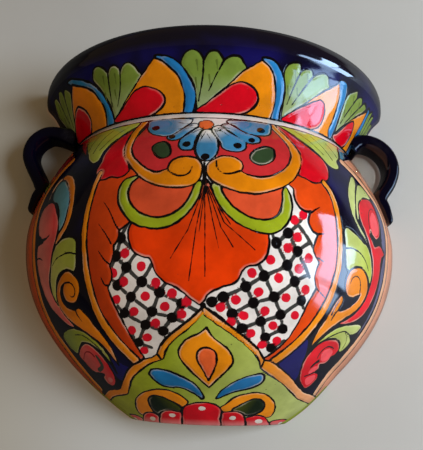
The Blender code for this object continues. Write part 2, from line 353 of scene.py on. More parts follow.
def finished(name, bm, node, materials):
    """Makes a bmesh a piece that stands for a node of the frame."""
    mesh = bpy.data.meshes.new(name)
    bm.to_mesh(mesh)
    bm.free()
    mesh.shade_smooth()
    mesh.set_sharp_from_angle(angle=SHARP_EDGE)
    for material in materials:
        mesh.materials.append(material)
    piece = bpy.data.objects.new(name, mesh)
    bpy.context.scene.collection.objects.link(piece)
    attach(piece, "root")
    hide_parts(node)
    return piece


def back_plane():
    """Where the turned pieces end against the back slab."""
    return -sizes().back_thickness


def read(parts, what):
    """The x, y and z of a value that every part of a mesh has."""
    values = np.zeros(len(parts) * 3)
    parts.foreach_get(what, values)
    return values.reshape(-1, 3).T


class Painting:
    """Brush work on a developed wall, in millimetres along the girth and up the wall.

    Each layer keeps, for every mesh point, how deep it lies inside the nearest form, and that
    form's colour. Later forms cover earlier ones of the same layer. Hair lines, which are finer
    than the mesh, are kept as the side on which they pass and their half width.
    """

    def __init__(self, arc, rise, layers, grain):
        self.arc = arc
        self.rise = rise
        self.grain = grain / MM
        self.depth = {layer: np.full(arc.size, -OUT_OF_REACH) for layer in layers if layer != "hair"}
        self.tint = {layer: np.zeros((arc.size, 4)) for layer in layers}
        self.gap = np.full(arc.size, OUT_OF_REACH)
        self.side = np.full(arc.size, OUT_OF_REACH)
        self.half = np.full(arc.size, -OUT_OF_REACH)

    def near(self, points, margin):
        """Mesh points round some places."""
        a, s = np.array(points).T
        found = ((self.arc > a.min() - margin) & (self.arc < a.max() + margin)
                 & (self.rise > s.min() - margin) & (self.rise < s.max() + margin))
        return np.nonzero(found)[0]

    def lay(self, layer, near, depth, colour, fade=None):
        """Puts a form over what its layer already holds."""
        colours = np.tile(np.array(colour), (near.size, 1))
        if fade is not None:
            other, start, end = fade
            run = np.subtract(end, start)
            place = (self.arc[near] - start[0]) * run[0] + (self.rise[near] - start[1]) * run[1]
            share = np.clip(place / (run @ run), 0, 1)[:, None]
            colours = colours * (1 - share) + np.array(other) * share
        under = np.minimum(self.depth[layer][near], -depth)
        on_top = depth > under
        self.depth[layer][near] = np.maximum(under, depth)
        self.tint[layer][near[on_top], :3] = colours[on_top]

    def form(self, layer, points, colour, fade=None):
        """A form with a closed smooth outline. A point that comes twice is a corner."""
        outline = smooth_outline(points, True)
        near = self.near(outline, NEAR_FORM)
        self.lay(layer, near, depth_inside(outline, self.arc[near], self.rise[near]), colour, fade)

    def brush(self, layer, points, colour, start, end=None):
        """A brush stroke along a smooth path, whose width runs from start to end."""
        end = start if end is None else end
        path = smooth_outline(points, False)
        near = self.near(path, NEAR_FORM + max(start, end))
        gap, side, half = along_stroke(path, start / 2, end / 2, self.arc[near], self.rise[near])
        self.lay(layer, near, half - gap, colour)

    def hair(self, points, colour, start, end):
        """A line too thin for the mesh, whose width runs from start to end."""
        path = smooth_outline(points, False)
        near = self.near(path, NEAR_FORM)
        gap, side, half = along_stroke(path, start / 2, end / 2, self.arc[near], self.rise[near])
        past = np.sqrt(np.maximum(gap ** 2 - side ** 2, 0))
        half -= past + np.clip(gap / self.grain - 0.85, 0, 0.85) * 3
        closer = gap < self.gap[near]
        chosen = near[closer]
        self.gap[chosen] = gap[closer]
        self.side[chosen] = side[closer]
        self.half[chosen] = half[closer]
        self.tint["hair"][chosen, :3] = colour

    def dot(self, layer, centre, radius, colour):
        """A round dot."""
        near = self.near([centre], NEAR_FORM + radius)
        gone = np.hypot(self.arc[near] - centre[0], self.rise[near] - centre[1])
        self.lay(layer, near, radius - gone, colour)

    def keep(self, mesh):
        """Stores the layers as attributes of the mesh."""
        values = {layer + "_depth": depth for layer, depth in self.depth.items()}
        values["hair_side"] = self.side
        values["hair_half"] = self.half
        places = np.stack([self.arc, self.rise, np.zeros(self.arc.size)], 1)
        made = mesh.attributes.new("developed", "FLOAT_VECTOR", "POINT")
        made.data.foreach_set("vector", places.astype(np.float32).ravel())
        for name, numbers in values.items():
            made = mesh.attributes.new(name, "FLOAT", "POINT")
            made.data.foreach_set("value", numbers.astype(np.float32))
        for layer, colours in self.tint.items():
            colours[:, 3] = 1.0
            made = mesh.attributes.new(layer + "_tint", "FLOAT_COLOR", "POINT")
            made.data.foreach_set("color", colours.astype(np.float32).ravel())


def smooth_outline(points, closed):
    """Places along a smooth curve through the given ones."""
    steps = 4
    if closed:
        ends = [points[-1]] + list(points) + list(points[:2])
    else:
        ends = [points[0]] + list(points) + [points[-1]]
    curve = []
    for p0, p1, p2, p3 in zip(ends, ends[1:], ends[2:], ends[3:]):
        if p1 == p2:
            continue
        a, b, c, d = (np.array(p, float) for p in (p0, p1, p2, p3))
        for t in np.arange(steps) / steps:
            curve.append(b + t / 2 * (c - a + t * (2 * a - 5 * b + 4 * c - d
                                                   + t * (3 * (b - c) + d - a))))
    if not closed:
        curve.append(np.array(points[-1], float))
    return curve


def depth_inside(outline, arc, rise):
    """How deep each place lies inside a closed outline, negative outside."""
    inside = np.zeros(arc.shape, bool)
    nearest = np.full(arc.shape, 1e6)
    for (a0, s0), (a1, s1) in zip(outline, outline[1:] + outline[:1]):
        da, ds = a1 - a0, s1 - s0
        share = ((arc - a0) * da + (rise - s0) * ds) / max(da * da + ds * ds, 1e-9)
        share = np.clip(share, 0, 1)
        nearest = np.minimum(nearest, np.hypot(arc - a0 - share * da, rise - s0 - share * ds))
        if s0 != s1:
            inside ^= ((s0 > rise) != (s1 > rise)) & (arc < a0 + da * (rise - s0) / ds)
    return np.where(inside, nearest, -nearest)


def along_stroke(path, start, end, arc, rise):
    """For each place, how far off a stroke's middle line is, on which side, and its half width."""
    gap = np.full(arc.shape, 1e6)
    side = np.zeros(arc.shape)
    half = np.zeros(arc.shape)
    count = len(path) - 1
    for i in range(count):
        (a0, s0), (a1, s1) = path[i], path[i + 1]
        da, ds = a1 - a0, s1 - s0
        span = max(math.hypot(da, ds), 1e-6)
        place = ((arc - a0) * da + (rise - s0) * ds) / span ** 2
        share = np.clip(place, 0, 1)
        away = np.hypot(arc - a0 - share * da, rise - s0 - share * ds)
        closer = away < gap
        gap = np.where(closer, away, gap)
        side = np.where(closer, (da * (rise - s0) - ds * (arc - a0)) / span, side)
        half = np.where(closer, start + (end - start) * (i + share) / count, half)
    return gap, side, half


def developed(mesh, radius_at, low, high, middle):
    """Millimetres along the girth and up the wall for every point of a turned mesh."""
    pot = sizes()
    x, y, z = read(mesh.vertices, "co")
    along, radii, heights = run_of(radius_at, low, high)
    rise = (np.interp(z, heights, along) - np.interp(middle, heights, along)) / MM
    radius = np.interp(z, heights, radii)
    arc = np.arctan2(x, pot.axis_setback - y) * radius / MM
    return arc, rise


# Painting of the belly, in millimetres: along the girth from the middle line, and up the wall
# from the widest height.
LEFT_EDGE = [
    (-118, 55), (-130, 47), (-140, 38), (-148, 28), (-153, 12), (-153.5, -20), (-151, -40), (-145.5, -60),
    (-138.5, -75), (-127.5, -90), (-116, -105), (-105, -120), (-94.5, -135)]
RIGHT_EDGE = [
    (107, 59), (120, 51), (130, 44), (140, 37), (148, 32), (156, 22), (160, 10), (160.5, -10), (159, -30),
    (153.5, -50), (145.5, -65), (134, -80), (121.5, -95), (109.5, -110), (101, -125), (97, -133)]
LEFT_STRIPE = [
    (-80, 32), (-83, 22), (-85.3, 10), (-86.8, 0), (-87.8, -10), (-87.8, -20), (-86.5, -30), (-85, -40),
    (-82.5, -50), (-79.5, -60), (-75.5, -69), (-70, -78), (-63.5, -87), (-56.5, -95.5), (-49, -104)]
RIGHT_STRIPE = [
    (81, 30), (86, 23.5), (89, 16), (91, 7.5), (92.5, -2), (93.2, -12), (93, -22), (92, -32), (89, -43.5),
    (85, -53.5), (79.5, -63.5), (72.5, -74), (64.5, -84), (56.5, -92.5), (47, -101.5)]
NECK_LINE = 82
LEFT_LATTICE = [
    [(-58, -17.5), (-51, -24)],
    [(-61, -29), (-53.5, -36.5), (-42.5, -46), (-30.5, -53), (-16, -60), (-6, -65)],
    [(-66, -42), (-60, -48), (-50, -56), (-35.5, -66), (-22, -70), (-13, -74)],
    [(-60, -62), (-55, -67), (-40, -75.5), (-28, -80), (-21, -83)], [(-50, -83), (-45.5, -89), (-36, -93)],
    [(-66, -38), (-61, -29), (-58, -17.5), (-53, -8)], [(-60, -48), (-53.5, -36.5), (-47, -28)],
    [(-55, -67), (-50, -56), (-42.5, -46), (-36, -35)],
    [(-45.5, -89), (-40, -75.5), (-35.5, -66), (-30.5, -53), (-26, -46)],
    [(-24, -88), (-28, -80), (-22, -70), (-16, -60), (-12, -54)]]
RIGHT_LATTICE = [
    [(3, -58.5), (10, -55), (24, -47.5), (35.5, -40), (51, -32), (58, -22.5), (67, -16)],
    [(16, -66), (29.5, -58), (43, -53), (57, -42), (66, -37)],
    [(23, -76), (35, -70.5), (48.5, -65), (63, -54)], [(39, -82), (51, -75)], [(44, -90), (53, -84)],
    [(43, -18.5), (51, -11.5), (58, -5), (64, 4)],
    [(3, -58.5), (10, -55), (16, -66), (23, -76), (28, -85)],
    [(22, -43), (24, -47.5), (29.5, -58), (35, -70.5), (39, -82), (44, -90)],
    [(32, -33), (35.5, -40), (43, -53), (48.5, -65), (51, -75)],
    [(40, -13), (43, -18.5), (51, -32), (57, -42), (63, -54), (65, -59)],
    [(51, -11.5), (58, -22.5), (68, -38)], [(57, -4), (68, -16), (73, -24)]]
LEFT_DOTS = [
    (-54.5, -27.5), (-43, -36), (-63, -40), (-55, -45.5), (-33, -46.5), (-61, -57.5), (-40, -55.5),
    (-22.5, -53.5), (-13, -59), (-27, -62.5), (-48, -66), (-16, -67.5), (-33, -74), (-50, -79.5),
    (-39, -85), (-41.5, -95.5)]
RIGHT_DOTS = [
    (62, 2), (55.5, -2.5), (58, -13.5), (51, -21), (66.5, -26), (39.5, -29.5), (59.5, -33.5),
    (27.5, -38.5), (45.5, -40.5), (65.5, -46.5), (32.5, -50.5), (51.5, -53), (18, -56.5), (59, -64.5),
    (37.5, -63), (8.5, -62), (23.5, -67), (15.5, -72), (43.5, -73), (29, -79.5), (47.5, -84), (37, -88)]
SHELL_RAYS = [
    [(-4.5, 14), (-13.5, -13), (-24, -31)], [(-4.2, 14), (-8.5, -12), (-12, -45)],
    [(-4, 14), (-3, -10), (-2, -42)], [(-4.2, 10), (-6.5, -14)], [(-3.2, 16), (2, -8), (6, -24)],
    [(-2.8, 16), (7, -11), (15, -23)], [(-2.2, 16), (9, -8), (29, -24)], [(-1, 16), (6, 1), (13, -9)]]


def shade(colour, amount):
    """A colour made darker below 1, or mixed with white above 1."""
    colour = np.array(colour)
    return colour * amount if amount <= 1 else colour + (1 - colour) * (amount - 1)


def paint_panels(p, g):
    """Dark side panels, the white panel in front, its fields and the lattice."""
    for patch, tone in (
            ([(-78, -92), (-62, -107), (-54, -112), (-62, -124), (-72, -112)], g.lit_blue),
            ([(50, -101), (62, -90), (72, -82), (72, -98), (68, -118), (60, -112)], g.lit_blue),
            # Painted reflection: this third patch, a bluish grey sliver between the right flame and the
            # stripe, stands in for the window's sheen on the dark glaze.
            ([(141, 34), (149, 27), (154, 17), (156.5, 4), (157, -12), (155, -28), (150, -46), (141, -62),
              (128, -78), (136, -66), (144, -52), (148, -38), (149, -24), (153, -12), (148, -4), (148, 8),
              (146, 20)], shade(g.lit_blue, 1.1))):
        p.form("lattice", patch, tone)
    p.form("panel", LEFT_STRIPE + [
        (-36, -104), (-18, -84), (0, -64), (20, -80), (38, -100)]
        + RIGHT_STRIPE[::-1] + [(40, 60), (-40, 60)], g.white)
    for bars, dots in ((LEFT_LATTICE, LEFT_DOTS), (RIGHT_LATTICE, RIGHT_DOTS)):
        places = [place for bar in bars for place in bar]
        for bar in bars:
            p.brush("lattice", bar, g.lattice, 2.6)
        for knot in sorted(set(places)):
            if places.count(knot) > 1:
                p.dot("lattice", knot, 3.8, g.line)
        for dot in dots:
            p.dot("lattice", dot, 3.25, g.dot_red)
    # The left field darkens towards the left panel: painted shade.
    p.form("ground", LEFT_STRIPE + [
        (-42, -102), (-45, -96), (-50, -86), (-55, -76), (-60, -66), (-64, -58), (-67.5, -49),
        (-67.5, -49), (-64.7, -45), (-64, -40), (-66, -35), (-66, -35), (-64, -31), (-63, -27), (-63, -22),
        (-63, -22), (-61, -20), (-59.8, -16), (-59.5, -12), (-59.5, -12), (-56, -10.5), (-52, -7),
        (-50, 0), (-48, 20), (-55, 32)], g.field, (shade(g.field, 0.72), (-55, 10), (-85, -20)))
    p.form("ground", RIGHT_STRIPE + [
        (38, -100), (42, -97), (49, -90), (55, -83), (60, -74), (64, -66), (67, -58), (70, -52), (74, -45),
        (74, -45), (73, -42), (72, -38), (73, -33), (75, -28), (75, -28), (72, -24), (70, -20), (71, -15),
        (74, -9.5), (74, -9.5), (70, -8.5), (67, -5), (66, -1), (67, 3), (68, 5), (68, 5), (64, 4.5),
        (60, 6), (57, 10), (55.5, 15), (55, 20), (50, 26), (60, 36)], g.field)
    for path in ([(-73.5, 8), (-68, 1), (-63, -8), (-60, -12)], [(-76, -7), (-70, -14), (-65, -21)],
                 [(-75, -25), (-70, -31), (-66, -34)], [(-73, -42), (-70, -47), (-67, -48)],
                 [(76, 9.5), (72, 7), (68, 4)], [(79, -8.5), (74, -9.5)], [(79, -27), (74, -25)],
                 [(83, -51), (74, -45)]):
        p.hair(path, g.line, 0.5, 1.9)


def paint_shell(p, g):
    """Middle shell with its rays, the green crescents and what they enclose."""
    p.form("ground", [
        (-4, 22), (-8, 14), (-12, 2), (-20, -5), (-35, -9), (-48, -7), (-52, -10), (-53, -15), (-52, -20),
        (-50, -25), (-47, -28), (-42, -30), (-38, -31), (-38, -31), (-36, -34), (-34, -39), (-31, -43),
        (-27, -46.5), (-21, -49), (-15, -53), (-9, -58), (-5, -60.5), (-5, -60.5), (-2, -58), (0, -54),
        (4, -51), (10, -48), (16, -46), (19, -43), (21, -38), (21, -38), (24, -35), (30, -33.5), (34, -31),
        (37, -27), (38.5, -20), (38, -16), (36, -11), (24, -8), (10, 1), (3, 12)],
        g.shell, (shade(g.field, 0.9), (-10, -20), (-5, 15)))
    p.brush("ground", [(-4.6, 26), (-4.2, 18), (-3.6, 11)], g.line, 1.6, 0.8)
    p.form("ground", [
        (-49, 25), (-55, 18), (-56, 8), (-52, 0), (-44, -6), (-35, -8), (-24, -6), (-15, 0), (-10, 10),
        (-8, 20), (-20, 22), (-35, 24)], shade(g.field, 1.02))
    p.form("ground", [
        (47, 20), (50, 10), (48, 1), (42, -6), (34, -8), (24, -7), (13, -1), (6, 9), (3, 18), (15, 20),
        (32, 20)], shade(g.field, 1.02))
    p.form("form", [
        (-50, 25.5), (-57, 24), (-61, 20), (-62.5, 14), (-62, 7), (-59, 1), (-55, -4), (-50, -8.5),
        (-43, -11), (-35, -12.5), (-27, -11.5), (-20, -8), (-14, -2.5), (-9, 5), (-6.5, 12), (-6, 20),
        (-10, 19), (-11, 16), (-13, 10), (-16, 4), (-21, -1), (-27, -4), (-33, -5), (-40, -4), (-46, -1.5),
        (-51, 3), (-54, 8), (-55, 14), (-53, 20), (-49, 24)], g.crescent)
    p.form("form", [
        (50, 20), (53, 14), (54, 7), (53, 0), (50, -6), (46, -10), (40, -13), (32, -13), (24, -11),
        (16, -7), (9, -1), (4, 6), (1, 13), (0, 18), (4, 19), (6, 17), (7, 13), (10, 8), (14, 3), (20, -1),
        (27, -4), (34, -4.5), (40, -3), (44, 0), (46, 4), (47, 10), (47, 16)], g.crescent)


def paint_scrolls(p, g):
    """Amber scrolls on their rose grounds, the dark ovals and the red lobed petals."""
    p.form("ground", [
        (-46, 76), (-53, 66), (-59, 56), (-59, 46), (-53, 36), (-42, 26), (-32, 21), (-20, 26), (-8, 34),
        (-6, 44), (-8, 56), (-14, 66), (-24, 72), (-36, 76)], g.rose)
    p.form("ground", [
        (43, 78), (52, 67), (58, 56), (59, 46), (55, 36), (45, 26), (32, 20), (18, 24), (4, 34), (2, 44),
        (4, 56), (10, 66), (22, 72), (34, 76)], g.rose)
    dark_red = shade(g.red, 0.62)
    p.form("form", [
        (-50, 81), (-55, 76), (-62, 71), (-68, 67), (-73, 62), (-78, 55), (-81, 48), (-82, 42), (-84, 36),
        (-84, 33), (-83, 29), (-80, 26), (-75, 25.5), (-70, 27), (-65, 25.5), (-61, 26), (-58, 28),
        (-56.5, 31), (-58, 38), (-60, 47), (-60, 55), (-58, 63), (-54, 71)],
        g.red, (dark_red, (-72, 46), (-56, 74)))
    p.form("form", [
        (46, 82), (55, 76), (63, 69), (71, 63), (79, 57), (85, 51), (87.5, 45), (87, 38), (85, 33),
        (80, 30), (75, 28), (70, 28), (65, 30), (60, 32), (61, 40), (61, 48), (60, 55), (56, 62),
        (51, 70)], g.red, (shade(g.red, 0.8), (76, 46), (55, 74)))
    p.form("form", [
        (-53, 83), (-55, 79), (-60, 68), (-63, 55), (-62, 45), (-59, 39), (-55, 33), (-50, 27), (-45, 22),
        (-38, 18), (-30, 15.5), (-22, 15), (-14, 16), (-9, 19), (-6.5, 24), (-6, 30), (-7, 35),
        (-10, 38.5), (-15, 40), (-20, 40), (-25, 38), (-28, 34.5), (-29, 30), (-29, 30), (-36, 27.5),
        (-42, 30), (-48, 35), (-54, 42), (-57, 50), (-56.5, 58), (-53, 70), (-48, 79), (-47, 83)], g.amber)
    p.form("form", [
        (44, 84), (47, 78), (53, 70), (58, 63), (62, 56), (63.5, 50), (63, 43), (61, 36), (58, 30),
        (54, 25), (48, 20), (40, 16), (32, 13), (25, 12.5), (18, 13), (11, 15), (6, 17), (0, 20.5),
        (-3, 26), (-3.5, 32), (0, 37), (6, 41), (12, 41.5), (18, 39), (20.5, 34), (19.5, 29), (19.5, 29),
        (26, 26), (33, 26), (40, 28), (46, 32), (51, 37), (54, 43), (55.5, 50), (54, 57), (50, 65),
        (43, 75), (40, 82)], g.amber)
    p.brush("mark", [
        (-29, 30), (-28, 28), (-24, 25), (-20, 24), (-16, 25), (-13.5, 28), (-13, 32)], g.line, 1.8, 1.2)
    p.brush("mark", [(19, 29.5), (17, 28.5), (12, 26.5), (7, 27), (3.5, 31), (3, 37)], g.line, 1.8, 1.2)
    p.brush("mark", [(-4.8, 36), (-4.9, 28), (-4.5, 18)], g.line, 1.6, 2.2)
    p.form("detail", [
        (-41.5, 50), (-39, 54), (-34, 55.5), (-30, 52), (-28, 46), (-29, 41), (-33, 39), (-37, 41),
        (-40, 45)], g.oval_green)
    p.form("detail", [
        (25, 41), (27, 47), (31, 51), (37, 54), (42, 53), (43, 48), (42, 42), (38, 38), (33, 36),
        (28, 37)], g.oval_green)


def paint_flower(p, g):
    """Blue fan flower under the neck, with its eye and the dots on its petals."""
    eye = (-5, 73.5)
    p.form("form", [(-22, 84), (-16, 75), (-12, 67), (-4, 62), (4, 67), (10, 76), (14, 84)], g.white)
    petals = [
        ([(-18, 81), (-45, 82), (-47.5, 75), (-46, 68), (-40, 63), (-33, 61), (-27, 63), (-21, 69),
          (-15, 77)], (-41, 71.5), 3.0),
        ([(-14, 75), (-21, 69), (-27, 63), (-32, 60), (-30, 57), (-26, 56), (-22, 58), (-17, 64),
          (-10, 72)], (-28, 60), 2.4),
        ([(-9, 71), (-17, 63), (-22, 57), (-23, 51), (-21, 47), (-17, 46), (-13, 47), (-12, 52),
          (-11, 58), (-7, 68)], (-17.5, 52), 2.9),
        ([(-7, 67), (-10, 58), (-11.5, 50), (-11, 43), (-8, 38), (-4, 36), (0, 38), (3, 43), (4, 50),
          (3, 58), (-1, 67)], (-4.5, 40), 3.0),
        ([(-1, 67), (5, 55), (6, 50), (9, 47), (14, 45.5), (19, 46.5), (22, 49), (23, 53), (22, 57),
          (15, 63), (8, 70), (3, 73)], (17, 52), 3.0),
        ([(6, 72), (15, 63), (22, 57), (25, 55), (30, 56), (33, 58), (33, 62), (30, 64), (22, 67),
          (15, 73), (9, 76)], (27, 59), 2.5),
        ([(9, 79), (20, 81), (38, 82), (42, 80), (42, 75), (41, 69), (38, 66), (33, 65), (28, 65),
          (22, 67), (15, 73)], (34, 71.5), 3.2)]
    for outline, dot, size in petals:
        root = ((eye[0] * 3 + dot[0]) / 4, (eye[1] * 3 + dot[1]) / 4)
        p.form("detail", outline, g.white, (g.petal_blue, root, ((root[0] + dot[0]) / 2,
                                                                (root[1] + dot[1]) / 2)))
        p.dot("mark", dot, size, g.line)
        away = np.subtract(dot, eye)
        start = np.add(eye, away * 0.25)
        for lean in (-0.12, 0.12):
            side = np.array((-away[1], away[0])) * lean
            p.hair([tuple(start), tuple(start + away * 0.3 + side)], g.line, 0.7, 0.4)
    p.dot("mark", eye, 6.0, g.line)
    p.dot("mark", eye, 4.9, g.coral)


def paint_neck(p, g):
    """Leaves under the neck, and the white band round it."""
    shaded_leaf_green = shade(g.neck_leaf, 0.6)
    # The leaves darken towards the left and pale towards the right: painted shade and painted light.
    p.form("ground", [
        (-50, 82), (-57, 76), (-63, 72), (-70, 66), (-77, 60), (-82, 53), (-83.5, 47), (-85, 44),
        (-89, 42.5), (-93, 45), (-96, 49), (-98, 53), (-104, 65), (-108, 75), (-112, 86), (-70, 86)],
        g.neck_leaf, (shaded_leaf_green, (-80, 60), (-108, 84)))
    p.form("ground", [
        (46, 84), (55, 77), (63, 71), (71, 65), (78, 60), (84, 54), (88, 49), (92, 47), (96, 46.5),
        (100, 48), (101, 52), (100, 56), (103, 60), (106, 66), (109, 76), (114, 86), (70, 86)],
        g.neck_leaf, (shade(g.neck_leaf, 1.12), (75, 70), (108, 70)))
    p.form("ground", [
        (-109, 78), (-105, 66), (-100, 55), (-103, 56), (-110, 64), (-118, 76), (-118, 86)],
        shade(g.red, 0.45))
    p.form("ground", [
        (111, 78), (108, 67), (104, 59), (110, 62), (117, 70), (122, 80), (118, 86)], shade(g.teal, 0.7))
    for path in ([(-64, 78), (-76, 69), (-87, 56)], [(-78, 79), (-88, 68), (-93, 54)],
                 [(-92, 79), (-98, 68), (-99, 60)], [(62, 79), (74, 71), (86, 59)],
                 [(76, 79), (87, 69), (95, 56)], [(90, 79), (98, 70), (102, 62)]):
        p.hair(path, shade(g.neck_leaf, 0.25), 0.5, 1.2)
    # The white band darkens towards the left: painted shade in the crease of the neck.
    p.form("detail", [
        (-250, NECK_LINE), (-250, NECK_LINE), (250, NECK_LINE), (250, NECK_LINE), (250, 98), (250, 98),
        (-250, 98), (-250, 98)], g.white, (shade(g.white, 0.6), (-10, 90), (-105, 90)))


def paint_stripes(p, g):
    """Orange stripes that frame the panels, and the bands outside them."""
    # Outer bands: the left one darkens towards the far left edge, painted shade; the right one is painted
    # pale, partly as the sheet's reflection on the grazing side.
    p.form("ground", LEFT_EDGE + [
        (-130, -160), (-250, -120), (-250, 95), (-150, 80)],
        shade(g.coral, 0.85), (shade(g.band, 0.55), (-165, 0), (-190, 0)))
    p.form("ground", RIGHT_EDGE + [(130, -160), (250, -120), (250, 95), (150, 80)], g.band)
    p.form("ground", [
        (-185, 66), (-168, 60), (-152, 52), (-140, 45), (-130, 50), (-118, 60), (-140, 66), (-165, 74)],
        shade(g.red, 0.5))
    p.form("ground", [
        (-205, 50), (-188, 54), (-170, 51), (-155, 44), (-147, 36), (-152, 31), (-165, 37), (-185, 45)],
        shade(g.crescent, 0.75))
    # Edge stripes: the left one is painted darker as shade, the right one paler as reflection.
    p.brush("form", [(a - 1.8, s) for a, s in LEFT_EDGE], shade(g.stripe, 0.9), 8.0)
    p.brush("form", [(a + 1.2, s) for a, s in RIGHT_EDGE], shade(g.stripe, 1.25), 8.0)
    p.brush("form", LEFT_STRIPE, g.stripe, 4.0, 7.5)
    p.brush("form", RIGHT_STRIPE, g.stripe, 4.5, 6.5)


def paint_left_side(p, g):
    """Flower, scroll and leaves of the left side panel."""
    rosy = shade(g.rose, 0.9)
    # The bud darkens towards its upper left: painted shade on its edge.
    p.form("form", [
        (-131, 25), (-127, 34), (-118, 35), (-110, 30), (-106, 20), (-104, 10), (-106, 0), (-113, -9),
        (-118, -5), (-116, 0), (-117, 7), (-121, 13), (-129, 17)],
        g.teal, (shade(g.teal, 0.75), (-112, 15), (-128, 30)))
    p.brush("form", [
        (-119, 36), (-125, 36), (-131, 32), (-135, 25), (-136.5, 18)],
        shade(g.leaf_orange, 1.35), 4.5, 2.5)
    p.form("form", [
        (-122, 38.5), (-115, 38), (-108, 34), (-103, 25), (-101, 15), (-101, 5), (-104, -5), (-110, -12),
        (-119, -19), (-116, -11), (-110, -5), (-107, 3), (-106, 12), (-108, 20), (-113, 28), (-118, 33),
        (-123, 35)], g.amber)
    p.form("form", [
        (-147, 2), (-145, 10), (-140, 15), (-133, 17), (-126, 15), (-121, 9), (-117, 2), (-115.5, -5),
        (-117, -12), (-120, -18), (-123, -25), (-125, -33), (-127.5, -41), (-127, -47), (-124, -53),
        (-118, -59.5), (-112, -66), (-105, -73), (-99, -78), (-107, -76.5), (-116, -72), (-124, -66),
        (-132, -60), (-138, -52), (-143, -42), (-146, -33), (-147.5, -25), (-146, -16), (-141, -13.5),
        (-136, -13), (-140, -10), (-145, -6)],
        shade(g.red, 1.08), (shade(rosy, 1.16), (-121, -12), (-139, -16)))
    p.brush("mark", [(-150, -12), (-141, -11.7), (-132, -11), (-127, -9)], g.line, 3.4, 1.2)
    p.hair([(-150, -24), (-143, -23.5), (-137, -25.5)], g.line, 1.8, 0.6)
    p.brush("mark", [(-123, 5), (-121.5, -2), (-122, -9)], shade(g.red, 1.06), 3.2, 1.5)
    p.form("form", [
        (-95, -17), (-99, -14), (-106, -13), (-113, -15), (-119, -19), (-122, -25), (-124, -32),
        (-126, -40), (-126, -47), (-124, -53), (-118.5, -60), (-117.5, -55), (-118.5, -50), (-118, -44),
        (-115, -39), (-110, -36), (-105, -35), (-100, -36.5), (-97, -37), (-95, -33), (-94.5, -25)],
        shade(g.crescent, 1.05), (shade(g.neck_leaf, 1.1), (-105, -28), (-120, -40)))
    p.hair([(-122, -31), (-117, -27), (-110, -25), (-103, -24), (-95, -25.5)], g.line, 0.7, 1.5)
    p.form("form", [
        (-92, -50), (-93, -44), (-97, -39.5), (-102, -36.5), (-108, -37), (-114, -41), (-118, -47),
        (-119.5, -54), (-117, -61), (-111, -68), (-104, -73.5), (-96, -78), (-88, -82.5), (-80, -88),
        (-74, -94), (-68.5, -101), (-63, -109), (-63, -109), (-65.5, -99), (-69, -91), (-75, -82),
        (-80, -76), (-85, -70), (-90, -65.5), (-94, -62.5), (-97.5, -62.7), (-98.5, -64), (-104, -62.7),
        (-109, -60.5), (-112.5, -56.5), (-113.5, -51), (-112, -46.5), (-108, -44.3), (-108, -44.3),
        (-110.5, -48), (-110.5, -52), (-108, -56.5), (-103, -58.8), (-98, -58.8), (-94.5, -56)],
        g.amber, (shade(g.amber, 0.8), (-100, -60), (-118, -55)))
    p.hair([
        (-108, -44.3), (-103, -44), (-99, -46), (-97, -50), (-98, -53.5), (-101, -54.3), (-103, -53)],
        g.line, 1.4, 0.8)
    p.hair([(-98.5, -64), (-96.5, -68), (-92.5, -73)], g.line, 1.8, 0.5)
    p.form("form", [
        (-123, -84), (-119, -80), (-112, -78), (-105, -77.2), (-97, -79), (-90, -82), (-83, -87),
        (-77, -92), (-72, -99), (-69, -107), (-66, -117), (-68, -112), (-73, -104), (-78, -98), (-84, -93),
        (-90, -90), (-96, -89.5), (-100, -92), (-104, -96), (-107, -99), (-111, -98), (-117, -94),
        (-121, -89)], shade(g.crescent, 0.9), (shade(g.fan, 1.02), (-90, -86), (-112, -88)))
    p.hair([(-104, -83), (-95, -83.5), (-86, -88.5), (-77, -97)], shade(g.deep_green, 1.02), 0.6, 1.3)
    p.form("form", [
        (-106, -101), (-102, -95), (-97, -91), (-91, -90), (-85, -93), (-79, -99), (-74, -106),
        (-71, -113), (-69, -119), (-69, -126), (-73, -130.5), (-78, -129), (-82, -123), (-80, -118.5),
        (-85, -117), (-91, -117), (-97, -113), (-101, -108)],
        shade(g.red, 0.9), (shade(g.rose, 1.08), (-78, -98), (-92, -105)))
    p.brush("mark", [
        (-84, -101), (-81, -106), (-80, -111), (-84, -114)], shade(g.deep_green, 1.04), 2.0, 4.5)
    p.hair([(-101, -104), (-96, -98), (-90, -98), (-86, -102)], shade(g.red, 0.35), 0.8, 1.6)
    p.dot("mark", (-74.5, -124), 2.6, shade(g.rose, 1.15))


